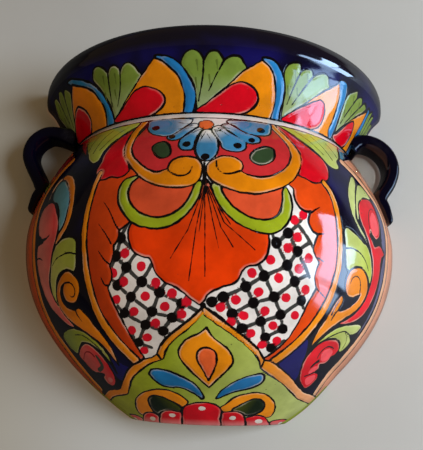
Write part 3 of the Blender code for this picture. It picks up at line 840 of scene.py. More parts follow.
def paint_right_side(p, g):
    """Flower, scroll and leaves of the right side panel."""
    pale = shade(g.neck_leaf, 1.12)
    rosy = (0.85, 0.08, 0.10)
    p.form("form", [
        (119, 44), (115, 46), (109, 38), (105, 28), (104.5, 18), (106, 10), (110, 3), (116, -3), (121, -7),
        (126, -10), (121, -3), (115, 2), (111, 8), (111, 13), (113, 22), (115, 30), (118, 37)], pale)
    p.form("form", [
        (118, 36), (122, 40), (128, 40), (134, 36), (139, 31), (133, 29), (127, 28), (121, 25), (117, 20),
        (115, 14), (114, 5), (111.5, 9), (112, 18), (114, 27)], pale)
    p.form("form", [
        (116, 20), (115, 12), (117, 5), (121, -1), (126, -8), (130, -15), (132.5, -23), (133, -31),
        (131, -40), (127, -48), (121, -55), (114, -60), (107, -64), (98, -68), (112, -67), (122, -63.5),
        (131, -58), (138, -50), (143, -42), (146, -33), (147, -25), (147, -19), (149, -14.5),
        (154.5, -11.5), (149, -7.5), (143, -6), (138, -7.5), (134.5, -8), (131, -4), (129, 2), (132, -1),
        (138, -3), (143.5, 0), (146, 6), (146, 13), (144, 21), (141, 26), (136, 29), (129, 28.5),
        (122, 26)], g.red)
    p.form("mark", [
        (130, 5), (130, 11), (133, 16), (137, 18), (141, 15), (143, 9), (142, 3), (138, -0.5), (133, 0.5)],
        rosy)
    p.hair([(128, 3), (127.5, 10), (130, 17), (135, 21), (139, 20.5)], shade(g.red, 0.3), 1.6, 0.7)
    p.brush("mark", [(128.5, -1.5), (134, -5), (141, -4.5), (148, -1.5)], g.line, 3.4, 2.0)
    p.form("form", [
        (97, -5), (99, -1), (105, -2), (112, -5), (118, -8), (124, -10), (129, -16), (132, -23),
        (133, -30), (131, -37), (128, -33), (124, -29), (117, -26), (110, -27), (104, -30), (100, -28),
        (98.5, -20), (98, -12)], g.neck_leaf, (pale, (125, -20), (100, -20)))
    p.hair([(98, -15.5), (105, -14.5), (112, -15.5), (118, -18), (123, -22), (127, -27)], g.line, 1.7, 0.6)
    p.form("form", [
        (100.5, -41), (101, -35), (104, -30), (109, -27), (116, -26), (122, -28.5), (126.5, -33),
        (129, -39), (127.5, -46), (123, -52), (116, -57.5), (108, -62), (101, -66), (95, -70), (89, -74.5),
        (83.5, -80), (79, -85), (74, -91), (74, -91), (76, -84), (78, -77.5), (81, -71.5), (85, -66),
        (88, -61), (91, -55), (95, -49.5), (98, -47.3), (100, -49.5), (99.5, -53), (97, -57.3),
        (101, -57.5), (107, -55), (113, -51.5), (117, -48), (119.5, -44.5), (119.5, -44.5), (115, -46),
        (110, -48), (105, -47.5), (102, -45)], g.amber)
    p.hair([
        (105.5, -39), (107.5, -34.5), (112, -32.5), (116, -34), (118, -38), (118.5, -44)],
        g.line, 0.7, 1.6)
    p.hair([(97, -57.3), (93.5, -61), (90.5, -66.5)], g.line, 1.8, 0.6)
    p.hair([(96.5, -50.5), (93, -56), (90, -62)], g.line, 0.5, 1.0)
    p.form("form", [
        (133.5, -67.5), (127, -65.5), (119, -66), (110, -67.5), (101, -70), (93, -74), (86, -79),
        (80, -85), (75, -92), (71.5, -102), (71.5, -102), (75, -95), (80, -89), (87, -84), (95, -80),
        (101, -79.8), (106.5, -82), (108.5, -86), (109, -90), (113, -90), (118, -86.5), (121.5, -82.5),
        (121.5, -79), (118, -75.5), (123, -74.5), (129, -72)], g.neck_leaf, (pale, (90, -78), (118, -72)))
    p.hair([
        (76, -93), (82, -86), (89, -80.5), (97, -76.5), (105, -73.5), (111, -73), (118, -75.5)],
        g.line, 0.8, 1.2)
    p.hair([(110, -74), (114, -77.5), (115.5, -82), (113, -87)], shade(g.neck_leaf, 0.3), 0.6, 1.3)
    p.form("form", [
        (71, -110), (72, -101), (74, -95), (78, -89), (83, -84.5), (90, -81), (97, -79.6), (103, -80.5),
        (107, -83.5), (108.5, -88), (105.5, -92.5), (101, -94.5), (99, -98.5), (95, -101.5), (90, -102.5),
        (91, -105.5), (87, -109.5), (91.5, -111), (93, -115), (90, -120), (85, -124.5), (80, -126.5),
        (75, -122.5), (72, -117)], g.red)
    p.form("mark", [
        (88.5, -94), (90, -90), (95, -88), (100, -89), (101, -92), (98, -97), (94, -99.5), (90, -98.5)],
        rosy)
    p.form("mark", [
        (80, -109), (84, -104.5), (88, -103.8), (88.5, -106.5), (84.5, -109.5), (81, -112)], rosy)
    p.form("mark", [
        (78, -117), (83, -113.5), (88.5, -112.5), (89.5, -116), (86, -120.5), (81, -123)], rosy)
    p.hair([(85, -97), (86.5, -92.5), (90, -88), (95.5, -86), (101, -87.5)], g.line, 1.0, 1.5)
    p.brush("mark", [(87.5, -99), (84, -101.5), (80.5, -106)], g.line, 3.0, 1.0)
    p.hair([(76.5, -114), (81, -112.3), (87, -109.5)], g.line, 1.0, 1.8)


def paint_foot(p, g):
    """Pointed medallion, leaves, rings and the half flower at the foot."""
    # The green ground is darker at the left and lighter towards the right: painted shade and painted light.
    p.form("ground", [
        (-2, -64), (-14, -76), (-27, -89), (-30, -100), (-44, -108), (-53, -117), (-59, -130), (-62, -136),
        (-75, -138), (-90, -144), (-130, -156), (-130, -190), (130, -190), (130, -146), (90, -138),
        (76, -133), (66, -123), (54, -112), (40, -103), (34, -94), (22, -83), (8, -72)],
        shade(g.meadow, 0.88), (shade(g.meadow, 1.16), (-30, -120), (80, -140)))
    left_upper = [
        (-2, -62), (-6, -66), (-11, -71), (-17, -77), (-23, -82), (-28, -87), (-31, -93), (-32.5, -98.5),
        (-32.5, -98.5), (-36, -101), (-42, -103), (-47, -106), (-52, -109), (-57, -115), (-60, -121),
        (-63, -127), (-65, -131), (-68, -133.5), (-75, -134), (-82, -136), (-90, -140), (-100, -144),
        (-125, -152)]
    left_lower = [
        (-3, -66), (-7, -72), (-13, -79), (-19, -84), (-24, -90), (-26.5, -96), (-28, -102), (-28, -102),
        (-31, -103.5), (-38, -107), (-44, -112), (-50, -118), (-54, -124), (-56, -130), (-58, -135),
        (-60, -138.5), (-66, -140), (-74, -142), (-82, -145), (-90, -149), (-125, -160)]
    right_upper = [
        (-2, -62), (3, -66), (10, -71), (17, -76), (24, -82), (30, -87), (35, -92), (38, -97),
        (40, -100.5), (40, -100.5), (44, -101), (50, -104.5), (57, -110), (64, -116), (70, -122),
        (75, -127), (80, -130.5), (90, -133), (110, -139), (125, -144)]
    right_lower = [
        (-2, -67), (2, -70), (8, -75), (15, -80), (22, -85), (28, -90), (33, -96), (36, -101),
        (37.5, -107.5), (37.5, -107.5), (43, -112), (50, -117), (57, -122), (64, -129), (69, -134),
        (73, -138), (80, -141), (90, -144), (125, -154)]
    # The left ribbon is painted darker as shade; the right one pales towards its lower end as painted
    # light.
    p.form("form", left_upper + left_lower[::-1], shade(g.stripe, 0.92))
    p.form("form", right_upper + right_lower[::-1], g.stripe,
           (shade(g.stripe, 1.18), (48, -106), (84, -138)))
    for middle, edge in (([(-2.5, -66), (-10, -74.5), (-21, -85), (-28.5, -95)],
                          [(-2, -61.5), (-11, -71), (-23, -82), (-30, -91)]),
                         ([(-1, -67), (8.5, -74), (22.5, -84.5), (33.5, -95.3)],
                          [(-2, -61.5), (10, -70.8), (24, -81.6), (35, -91.5)])):
        p.brush("mark", middle, g.stripe, 1.5)
        p.brush("mark", edge, g.line, 2.0)
    p.dot("mark", (-2.5, -61), 2.0, g.line)
    p.brush("mark", [(-32, -98.5), (-30, -102)], g.line, 1.6)
    p.brush("mark", [(40, -100.5), (38, -107)], g.line, 1.6)
    p.form("form", [
        (0, -76.5), (0, -76.5), (-5, -81), (-12, -85), (-16, -90), (-18, -96), (-17, -101), (-14, -106),
        (-9, -113), (-4, -119), (3, -127.5), (3, -127.5), (6, -123), (10, -117), (15, -110), (18, -104),
        (17.5, -98), (14, -92), (9, -87.5), (4, -83)], g.stripe)
    p.form("detail", [
        (2, -92), (-2, -92), (-5, -95), (-6, -99), (-5, -104), (-2, -110), (2.5, -120.5), (2.5, -120.5),
        (4.5, -115), (6.5, -108), (7.5, -100), (6, -95)], g.coral)
    p.form("form", [
        (-39, -116), (-37, -112), (-33, -111), (-27, -112), (-20, -115), (-13, -119), (-7, -124),
        (-3, -130), (-0.5, -137), (-1.5, -140), (-4, -137), (-10, -132), (-17, -128.5), (-24, -128.5),
        (-30, -126.5), (-35, -122), (-38, -118)],
        g.arc_blue, (shade(g.arc_blue, 0.7), (-35, -115), (-5, -135)))
    p.form("form", [
        (8, -139), (10, -133), (14, -127), (20, -121), (27, -116.5), (33, -114), (38, -112.5), (41, -114),
        (41.5, -118), (39, -122.5), (34, -126), (27, -129), (19, -132), (13, -136)],
        g.arc_blue, (shade(g.arc_blue, 0.7), (38, -115), (10, -136)))
    p.form("form", [
        (-54, -157), (-53.5, -147), (-51, -141), (-46, -136), (-40, -133), (-33, -131), (-26, -131.5),
        (-20, -134), (-15, -138), (-12, -142), (-11.5, -145), (-14, -149), (-22, -154), (-34, -158),
        (-40, -161), (-50, -163)], g.stripe)
    p.form("form", [
        (11, -150), (15, -145), (19, -139), (24, -135), (31, -132.5), (37, -131.5), (43, -132.5),
        (48, -136), (52, -142), (53, -148), (52, -155), (48, -161), (36, -160), (24, -156), (16, -155)],
        g.stripe)
    p.form("detail", [
        (-41, -148), (-41, -142), (-38, -138.5), (-33, -138), (-27, -141), (-21, -145), (-16, -150),
        (-17, -155), (-24, -157), (-30, -158), (-34, -160), (-38, -157)],
        g.deep_green, (shade(g.crescent, 0.2), (-30, -150), (-18, -142)))
    p.form("detail", [
        (20, -151), (25, -146), (31, -141), (36, -138), (41, -139), (44, -143), (44.5, -148), (42, -153),
        (37, -157), (32, -158), (28, -157), (22, -155)],
        g.deep_green, (shade(g.crescent, 0.2), (36, -148), (24, -144)))
    for outline, dot, size in (
            ([(-74, -176), (-72, -168), (-64, -164.5), (-56, -165), (-50, -169), (-48, -176)],
             (-61, -171), 2.6),
            ([(50, -176), (50, -167), (58, -164.5), (66, -165), (73, -169), (75, -176)], (61, -171), 2.8),
            ([(-50, -176), (-49, -165), (-46, -160), (-40, -158.5), (-34, -162), (-32, -170), (-32, -176)],
             (-40, -167), 2.7),
            ([(30, -176), (30, -163), (34, -160), (39, -158), (44, -159.5), (47, -164), (49, -176)],
             (41, -166), 2.8),
            ([(-32, -176), (-33, -161), (-30, -156), (-25, -154), (-20, -155), (-15, -158), (-11, -176)],
             (-23, -160.5), 2.4),
            ([(10, -176), (12, -157), (16, -154), (22, -153), (27, -155), (30, -160), (30, -176)],
             (21, -161.5), 2.6),
            ([(-13, -178), (-15.5, -160), (-15, -152), (-13, -148), (-8, -145), (-2, -143.5), (4, -144),
              (9, -146.5), (12, -151), (12.5, -157), (12, -163), (11, -178)], (-1.5, -150.5), 2.6)):
        # Each petal pales towards the bottom edge: painted reflection of the sheet at the grazing foot.
        p.form("detail", outline, g.red, (shade(g.red, 1.35), (dot[0], -164), (dot[0], -176)))
        p.dot("mark", dot, size, shade(g.white, 0.95))


# Painting of the collar: along the girth from the middle line, and up the wall from the neck.
# Each unit is an orange leaf from its tip down both sides, its red drop and its blue arc.
COLLAR_UNITS = [
    ([(-140, 0), (-136, 15), (-134, 25), (-130, 35), (-127, 41), (-127, 41), (-120, 38), (-110, 34),
      (-101, 29), (-95, 22), (-90, 15), (-88.5, 8), (-89, 0), (-89, -4), (-140, -4)],
     [(-142, 2), (-139, 10), (-134, 18), (-128, 23), (-123, 24), (-117, 21), (-111, 16), (-108, 10),
      (-109, 4), (-113, 0), (-128, -2)],
     [(-133, 44), (-127, 45), (-118, 42), (-108, 38), (-98, 32), (-90, 24), (-84, 15), (-81, 7),
      (-81, -4), (-90, -4), (-92, 14), (-100, 26), (-112, 33), (-124, 38)]),
    ([(-80, 1), (-74, 8), (-67, 16), (-60, 23), (-54, 30), (-49, 35), (-44, 40.5), (-44, 40.5),
      (-38, 38), (-32, 33), (-26, 27), (-23, 20), (-21, 12), (-22, 1), (-23, -4), (-79, -4)],
     [(-80, 1.5), (-72, 9), (-66, 15), (-60, 20), (-53, 22), (-47, 21), (-40, 17.5), (-36, 13), (-36, 9),
      (-39, 5), (-46, 1), (-55, -1)],
     [(-44, 42), (-37, 41.5), (-30, 39), (-24, 34), (-18, 26), (-14, 18), (-13, 10), (-15, 1), (-16, -4),
      (-24, -4), (-25, 12), (-30, 26), (-38, 36)]),
    ([(-13, 1), (-3, 9), (5, 16), (13, 24), (20, 31), (26, 35), (33, 40), (33, 40), (38, 37), (42, 32),
      (44, 25), (45, 17), (44, 8), (42, 1), (41, -4), (-12, -4)],
     [(-13, 1.5), (-6, 7), (0, 12), (6, 17), (12, 21), (18, 23.5), (24, 22.5), (29, 19.5), (31.5, 15),
      (31, 10), (27, 5), (20, 1), (5, -1)],
     [(33, 41.5), (39, 42), (44, 40), (48, 35.5), (51, 29), (52, 22), (51, 14), (49, 6), (48, -4),
      (41, -4), (41, 12), (40, 28), (36, 37)]),
    ([(50, 1), (60, 9), (70, 17), (80, 25), (88, 31), (96, 36), (102, 40.5), (102, 40.5), (105, 33),
      (104, 24), (102, 14), (99, 6), (98, -4), (51, -4)],
     [(51, 1.5), (58, 8), (65, 13), (72, 17), (79, 21), (85, 23.5), (89, 22), (91, 17), (90, 10), (86, 4),
      (76, 0), (62, -1)],
     [(102, 42), (108, 43.5), (112, 42), (113.5, 36), (112, 28), (110, 20), (108, 12), (105, 1), (104, -4),
      (97, -4), (99, 14), (102, 28), (103, 36)]),
    ([(106, 3), (115, 12), (125, 20), (135, 27), (145, 33), (155, 38), (155, 38), (152, 30), (147, 20),
      (142, 10), (138, 0), (137, -4), (106, -4)],
     [(106, 3.5), (113, 9), (120, 15), (127, 20), (133, 23), (136, 20), (136, 14), (133, 7), (128, 2),
      (118, -1)],
     [(154, 40), (160, 39), (158, 30), (154, 20), (149, 10), (145, -4), (138, -4), (146, 18), (152, 32)])]
# Each fan is its scalloped outline from its root, and the lines that part its petals.
COLLAR_FANS = [
    ([(-141, 5), (-158, 18), (-172, 30), (-174, 38), (-170, 43), (-163, 43), (-158, 38), (-158, 38),
      (-153, 44), (-147, 43), (-145, 37), (-145, 37), (-141, 42), (-136, 40), (-132, 36), (-134, 26),
      (-138, 8)],
     [[(-158, 38), (-152, 26), (-146, 16)], [(-145, 37), (-143, 25), (-141, 14)]]),
    ([(-79.5, 3), (-83, 14), (-89, 24), (-95, 31), (-99, 36), (-99, 40), (-97, 43.5), (-93, 44), (-88, 42),
      (-84, 38), (-83.5, 36), (-83.5, 36), (-81, 40.5), (-77, 41), (-73, 38), (-72, 35), (-72, 35),
      (-69, 39.5), (-65, 40.5), (-60, 38.5), (-56, 33), (-54, 30), (-60, 23), (-67, 16), (-78, 4)],
     [[(-83.5, 36), (-82.5, 24), (-81, 13)], [(-72, 35), (-72.5, 24), (-76, 12)]]),
    ([(-12, 3), (-13, 12), (-16, 22), (-20, 29), (-24, 35), (-22, 41), (-18, 44), (-14, 44), (-10, 41),
      (-8, 37), (-8, 37), (-5, 42), (-1, 43.5), (3, 42), (6, 37), (6, 37), (10, 40), (14, 41), (18, 40),
      (20, 37), (22, 32), (13, 24), (5, 16), (-10, 3)],
     [[(-8, 37), (-8.5, 25), (-11, 9)], [(6, 37), (1, 27), (-4, 16)]]),
    ([(51, 4), (51.5, 18), (50.5, 34), (53, 40), (58, 43), (63, 43), (64, 38), (64, 38), (68, 40.5),
      (73, 41), (75, 37), (75, 37), (79, 40), (85, 42), (89, 41), (91, 37), (92, 33), (80, 25), (68, 15),
      (54, 4)],
     [[(64, 38), (59, 26), (54.5, 13)], [(75, 37), (67, 26), (59, 14)]]),
    ([(108, 5), (110, 18), (112, 30), (116, 37), (122, 41), (127, 43), (129, 38), (129, 38), (133, 40.5),
      (138, 41), (140, 37), (140, 37), (143, 39.5), (147, 40), (150, 37), (140, 30), (125, 20), (110, 6)],
     [[(129, 38), (120, 26), (113, 15)], [(140, 37), (130, 28), (119, 17)]]),
    ([(150, 5), (153, 26), (158, 34), (163, 40), (168, 42), (168, 36), (168, 36), (172, 40.5), (177, 41),
      (177, 35.5), (177, 35.5), (182, 38), (186, 36), (180, 26), (170, 16), (154, 4)],
     [[(168, 36), (161, 24), (155, 13)], [(177, 35.5), (168, 24), (159, 13)]])]


def paint_collar(p, g):
    """Green fans, blue arcs and orange leaves round the collar, with their red drops."""
    for outline, lines in COLLAR_FANS:
        root = outline[0]
        p.form("form", outline, shade(g.fan, 1.14), (g.fan, (root[0], root[1] + 4), (root[0], 28)))
        for path in lines:
            p.brush("mark", path, g.line, 1.6, 0.8)
            for a, s in (path[0], path[1]):
                p.brush("mark", [(a - 5, s), (a - 4, s - 7)], shade(g.fan, 0.62), 1.6, 0.6)
    for leaf, drop, arc in COLLAR_UNITS:
        p.form("form", arc, g.arc_blue)
        p.form("form", leaf, g.leaf_orange)
        p.form("detail", drop, g.red)
    p.brush("mark", [(-250, 0.4), (250, 0.4)], g.line, 2.0)


def node(tree, kind, sockets=None, **settings):
    """A shader node with its settings, and its inputs set or linked by name or number."""
    made = tree.nodes.new(kind)
    for name, value in settings.items():
        setattr(made, name, value)
    for key, value in (sockets or {}).items():
        if isinstance(value, bpy.types.NodeSocket):
            tree.links.new(value, made.inputs[key])
        else:
            made.inputs[key].default_value = value
    return made


def maths(tree, operation, first, second=0.0):
    """One sum on two values."""
    return node(tree, "ShaderNodeMath", {0: first, 1: second}, operation=operation).outputs[0]


def vectors(tree, operation, first, second):
    """One sum on two vectors."""
    made = node(tree, "ShaderNodeVectorMath", {0: first, 1: second}, operation=operation)
    return made.outputs["Value" if operation in ("DOT_PRODUCT", "DISTANCE") else "Vector"]


def scaled(tree, vector, amount):
    """A colour or vector times a value."""
    return node(tree, "ShaderNodeVectorMath", {0: vector, "Scale": amount}, operation="SCALE").outputs[0]


def solid(colour, amount=1.0):
    """A shaded colour as a node takes it."""
    return (*shade(colour, amount), 1.0)


def object_place(tree):
    """Where a place of the piece lies, in metres."""
    return node(tree, "ShaderNodeTexCoord").outputs["Object"]


def axis(tree, place, name):
    """One of a place's x, y and z."""
    return node(tree, "ShaderNodeSeparateXYZ", {0: place}).outputs[name]


def ramp(tree, value, low, high, start=0.0, end=1.0):
    """A value eased from start at low to end at high."""
    return node(tree, "ShaderNodeMapRange", {"Value": value, "From Min": low, "From Max": high,
                "To Min": start, "To Max": end}, interpolation_type="SMOOTHSTEP").outputs[0]


def mixed(tree, share, first, second, blend="MIX"):
    """Two colours mixed."""
    return node(tree, "ShaderNodeMix", {0: share, 6: first, 7: second}, data_type="RGBA",
                blend_type=blend).outputs[2]


def noise(tree, place, scale, detail=2.0, rough=0.5):
    """Cloudy values about 0.5 at so many patches to the metre."""
    return node(tree, "ShaderNodeTexNoise", {"Vector": place, "Scale": scale, "Detail": detail,
                "Roughness": rough}).outputs[0]


def group(name, inputs, outputs):
    """An empty shader node group with its sockets, and its two end nodes."""
    tree = bpy.data.node_groups.new(name, "ShaderNodeTree")
    for direction, sockets in (("INPUT", inputs), ("OUTPUT", outputs)):
        for label, kind in sockets:
            tree.interface.new_socket(label, in_out=direction, socket_type="NodeSocket" + kind)
    return tree, tree.nodes.new("NodeGroupInput").outputs, tree.nodes.new("NodeGroupOutput").inputs


def made_once(make):
    """Makes a material or node group that bears its function's name, or finds the one made before."""
    name = make.__name__.replace("_", " ")

    def found():
        for store in (bpy.data.materials, bpy.data.node_groups):
            if name in store:
                return store[name]
        return make(name)

    return found


@made_once
def brushed_layer(name):
    """Group that lays one painted layer, with its black line, over what is under it."""
    tree, given, out = group(name, [
        ("Under", "Color"), ("Under Height", "Float"), ("Depth", "Float"), ("Tint", "Color"),
        ("Line", "Color"), ("Lined", "Float")], [("Colour", "Color"), ("Height", "Float")])
    place = object_place(tree)
    wobble = maths(tree, "MULTIPLY", maths(tree, "SUBTRACT", noise(tree, place, 230), 0.5), 1.1)
    depth = maths(tree, "ADD", given["Depth"], wobble)
    inside = ramp(tree, depth, -0.22, 0.22)
    half = ramp(tree, noise(tree, place, 75), 0.3, 0.7, 0.45, 0.95)
    gone = maths(tree, "SUBTRACT", maths(tree, "ABSOLUTE", depth), half)
    line = maths(tree, "MULTIPLY", ramp(tree, gone, -0.2, 0.3, 1.0, 0.0), given["Lined"])
    past = maths(tree, "SUBTRACT", depth, half)
    fringe = maths(tree, "MULTIPLY", ramp(tree, past, 0.2, 1.5, 1.0, 0.0), given["Lined"])
    fringe = maths(tree, "MULTIPLY", fringe, ramp(tree, noise(tree, place, 50), 0.42, 0.68, 0.0, 0.45))
    wash = ramp(tree, noise(tree, place, 60, 4.0, 0.6), 0.25, 0.75, 0.84, 1.14)
    bare_edge = (0.8, 0.72, 0.6, 1.0)
    pale = mixed(tree, fringe, scaled(tree, given["Tint"], wash), bare_edge)
    covered = mixed(tree, inside, given["Under"], pale)
    tree.links.new(mixed(tree, line, covered, given["Line"]), out["Colour"])
    raised = maths(tree, "MULTIPLY", inside, given["Lined"])
    crown = ramp(tree, past, 0.0, 2.4)
    level = node(tree, "ShaderNodeMix", {0: raised, 2: given["Under Height"], 3: crown}).outputs[0]
    groove = maths(tree, "MULTIPLY", line, 0.3)
    tree.links.new(maths(tree, "SUBTRACT", level, groove), out["Height"])
    return tree


@made_once
def fine_stroke(name):
    """Group that draws a straight fine stroke on a developed wall, beside the strokes before it."""
    tree, given, out = group(name, [
        ("Place", "Vector"), ("Start", "Vector"), ("End", "Vector"), ("Start Half", "Float"),
        ("End Half", "Float"), ("Before", "Float")], [("Depth", "Float")])
    run = vectors(tree, "SUBTRACT", given["End"], given["Start"])
    off = vectors(tree, "SUBTRACT", given["Place"], given["Start"])
    share = node(tree, "ShaderNodeMath", {0: vectors(tree, "DOT_PRODUCT", off, run),
                 1: vectors(tree, "DOT_PRODUCT", run, run)}, operation="DIVIDE", use_clamp=True).outputs[0]
    nearest = scaled(tree, run, share)
    taper = maths(tree, "SUBTRACT", given["End Half"], given["Start Half"])
    half = maths(tree, "ADD", given["Start Half"], maths(tree, "MULTIPLY", taper, share))
    depth = maths(tree, "SUBTRACT", half, vectors(tree, "DISTANCE", off, nearest))
    tree.links.new(maths(tree, "MAXIMUM", given["Before"], depth), out["Depth"])
    return tree


@made_once
def glaze_skin(name):
    """Group that gives a glaze its cloudy depth, its waves and its small pits."""
    tree, given, out = group(name, [("Colour", "Color"), ("Height", "Float")],
                             [("Colour", "Color"), ("Roughness", "Float"), ("Height", "Float")])
    place = object_place(tree)
    cloud = ramp(tree, noise(tree, place, 22, 3.0), 0.3, 0.7, 0.86, 1.1)
    pits = node(tree, "ShaderNodeTexVoronoi", {"Vector": place, "Scale": 210.0}).outputs["Distance"]
    chosen = ramp(tree, noise(tree, place, 70), 0.60, 0.66)
    pit = maths(tree, "MULTIPLY", ramp(tree, pits, 0.06, 0.15, 1.0, 0.0), chosen)
    burnt = (0.05, 0.03, 0.02, 1.0)
    speckled = mixed(tree, maths(tree, "MULTIPLY", pit, 0.6), scaled(tree, given["Colour"], cloud), burnt)
    tree.links.new(speckled, out["Colour"])
    tree.links.new(ramp(tree, noise(tree, place, 40, 3.0), 0.3, 0.75, 0.06, 0.16), out["Roughness"])
    waves = maths(tree, "ADD", maths(tree, "MULTIPLY", noise(tree, place, 24, 2.0), 3.2),
                  maths(tree, "MULTIPLY", noise(tree, place, 75, 1.0), 0.8))
    level = maths(tree, "ADD", maths(tree, "ADD", given["Height"], waves),
                  maths(tree, "MULTIPLY", pit, -0.8))
    tree.links.new(level, out["Height"])
    return tree


def new_material(name):
    """A material with its node tree and its shader."""
    material = bpy.data.materials.new(name)
    material.use_nodes = True
    return material, material.node_tree, material.node_tree.nodes["Principled BSDF"]


def glazed(tree, shader, colour, height):
    """Finishes a colour as glossy fired glaze."""
    skin = node(tree, "ShaderNodeGroup", {"Colour": colour, "Height": height}, node_tree=glaze_skin())
    bump = node(tree, "ShaderNodeBump", {"Height": skin.outputs["Height"], "Distance": 0.00022,
                "Strength": 1.0})
    tree.links.new(skin.outputs["Colour"], shader.inputs["Base Color"])
    tree.links.new(skin.outputs["Roughness"], shader.inputs["Roughness"])
    tree.links.new(bump.outputs[0], shader.inputs["Normal"])
    shader.inputs["Coat Weight"].default_value = 0.3
    shader.inputs["Coat Roughness"].default_value = 0.05


def deep_blue(tree):
    """Nearly black blue glaze with bluer patches, and a bluer ring of painted light under the lip."""
    g = glazes()
    place = object_place(tree)
    patches = ramp(tree, noise(tree, place, 15, 3.0), 0.5, 0.78, 0.0, 0.7)
    height = axis(tree, place, "Z")
    # The ring is painted light: the flare under the rim is made bluer where it would catch the light.
    ring = maths(tree, "MULTIPLY", ramp(tree, height, *RING_START), ramp(tree, height, *RING_END, 1.0, 0.0))
    ring = maths(tree, "MULTIPLY", ring, ramp(tree, noise(tree, place, 28, 2.0), 0.38, 0.65, 0.0, 0.8))
    patches = maths(tree, "MAXIMUM", patches, ring)
    return mixed(tree, patches, solid(g.cobalt), solid(g.lit_blue))


def painted_material(name, layers, rays):
    """Glaze with the painted layers of a mesh over dark blue, and rays over its ground."""
    material, tree, shader = new_material(name)

    def stored(attribute, output):
        return node(tree, "ShaderNodeAttribute", attribute_name=attribute).outputs[output]

    def strokes():
        depth = -OUT_OF_REACH
        place = stored("developed", "Vector")
        for ray in rays:
            halves = np.linspace(0.42, 0.28, len(ray))
            for start, end, wide, fine in zip(ray, ray[1:], halves, halves[1:]):
                depth = node(tree, "ShaderNodeGroup", {
                    "Place": place, "Start": (*start, 0.0), "End": (*end, 0.0), "Start Half": wide,
                    "End Half": fine, "Before": depth}, node_tree=fine_stroke()).outputs[0]
        return depth

    line = solid(glazes().line)
    passes = []
    for layer in layers:
        if layer == "hair":
            depth = maths(tree, "SUBTRACT", stored("hair_half", "Fac"),
                          maths(tree, "ABSOLUTE", stored("hair_side", "Fac")))
        else:
            depth = stored(layer + "_depth", "Fac")
        passes.append((depth, stored(layer + "_tint", "Color"), 0.0 if layer in UNLINED else 1.0))
        if layer == "ground":
            passes.append((strokes(), line, 0.0))
    colour, height = deep_blue(tree), 0.0
    for depth, tint, lined in passes:
        colour, height = node(tree, "ShaderNodeGroup", {
            "Under": colour, "Under Height": height, "Depth": depth, "Tint": tint, "Line": line,
            "Lined": lined}, node_tree=brushed_layer()).outputs
    glazed(tree, shader, colour, height)
    return material


@made_once
def painted_glaze(name):
    """Painting of the belly."""
    return painted_material(name, BELLY_LAYERS, SHELL_RAYS)


@made_once
def collar_glaze(name):
    """Painting of the collar."""
    return painted_material(name, COLLAR_LAYERS, [])


def plain_glaze(name, base):
    """Glaze of one colour, a little paler where it ran thin."""
    material, tree, shader = new_material(name)
    thin = ramp(tree, noise(tree, object_place(tree), 38, 4.0, 0.6), 0.58, 0.8, 0.0, 0.5)
    glazed(tree, shader, mixed(tree, thin, solid(base), solid(base, 1.03)), 0.5)
    return material


@made_once
def bare_clay(name):
    """Unglazed fired clay with throwing marks, specks and a few runs of blue glaze at the top."""
    material, tree, shader = new_material(name)
    g = glazes()
    place = object_place(tree)
    cloud = ramp(tree, noise(tree, place, 18, 5.0, 0.6), 0.25, 0.75)
    colour = mixed(tree, cloud, solid(g.clay, 0.72), solid(g.clay, 1.12))
    specks = ramp(tree, noise(tree, place, 900, 2.0), 0.62, 0.72)
    colour = mixed(tree, maths(tree, "MULTIPLY", specks, 0.5), colour, solid(g.clay, 0.4))
    run = maths(tree, "MULTIPLY", noise(tree, place, 60, 3.0), RUN_LENGTH)
    covered = ramp(tree, maths(tree, "ADD", axis(tree, place, "Z"), run), *RUN_EDGE)
    tree.links.new(mixed(tree, covered, colour, solid(g.cobalt)), shader.inputs["Base Color"])
    tree.links.new(ramp(tree, covered, 0.0, 1.0, 0.82, 0.2), shader.inputs["Roughness"])
    grain = maths(tree, "ADD", noise(tree, place, 420, 4.0, 0.7),
                  maths(tree, "MULTIPLY", noise(tree, place, 35, 2.0), 3.0))
    bump = node(tree, "ShaderNodeBump", {"Height": grain, "Distance": 0.0003, "Strength": 0.8})
    tree.links.new(bump.outputs[0], shader.inputs["Normal"])
    return material


@made_once
def cobalt_glaze(name):
    """Dark blue glaze of the lip."""
    material, tree, shader = new_material(name)
    glazed(tree, shader, deep_blue(tree), 0.5)
    shader.inputs["Coat Weight"].default_value = 0.8
    shader.inputs["Coat IOR"].default_value = 1.8
    return material


@made_once
def ear_glaze(name):
    """Thicker, nearly black glaze of the ears."""
    material = plain_glaze(name, shade(glazes().cobalt, 0.7))
    shader = material.node_tree.nodes["Principled BSDF"]
    shader.inputs["Specular IOR Level"].default_value = 0.3
    shader.inputs["Coat Weight"].default_value = 0.05
    return material


@made_once
def band_glaze(name):
    """Red-orange glaze that runs round the back edge, painted pale partly as the sheet's reflection."""
    return plain_glaze(name, glazes().band)


@made_once
def foot_glaze(name):
    """Green glaze of the back edge at the foot."""
    return plain_glaze(name, glazes().meadow)


def split_skin(mesh, radius_at, depth):
    """Gives the faces that don't lie on the outer wall the mesh's second material."""
    pot = sizes()
    x, y, z = read(mesh.polygons, "center")
    nx, ny, _ = read(mesh.polygons, "normal")
    radius = np.hypot(x, pot.axis_setback - y)
    outward = (nx * x + ny * (y - pot.axis_setback)) / radius
    on_wall = (np.abs(radius_at(z) - radius) < depth) & (outward > 0.2)
    mesh.polygons.foreach_set("material_index", np.where(on_wall, 0, 1).astype(np.int32))
    mesh.update()


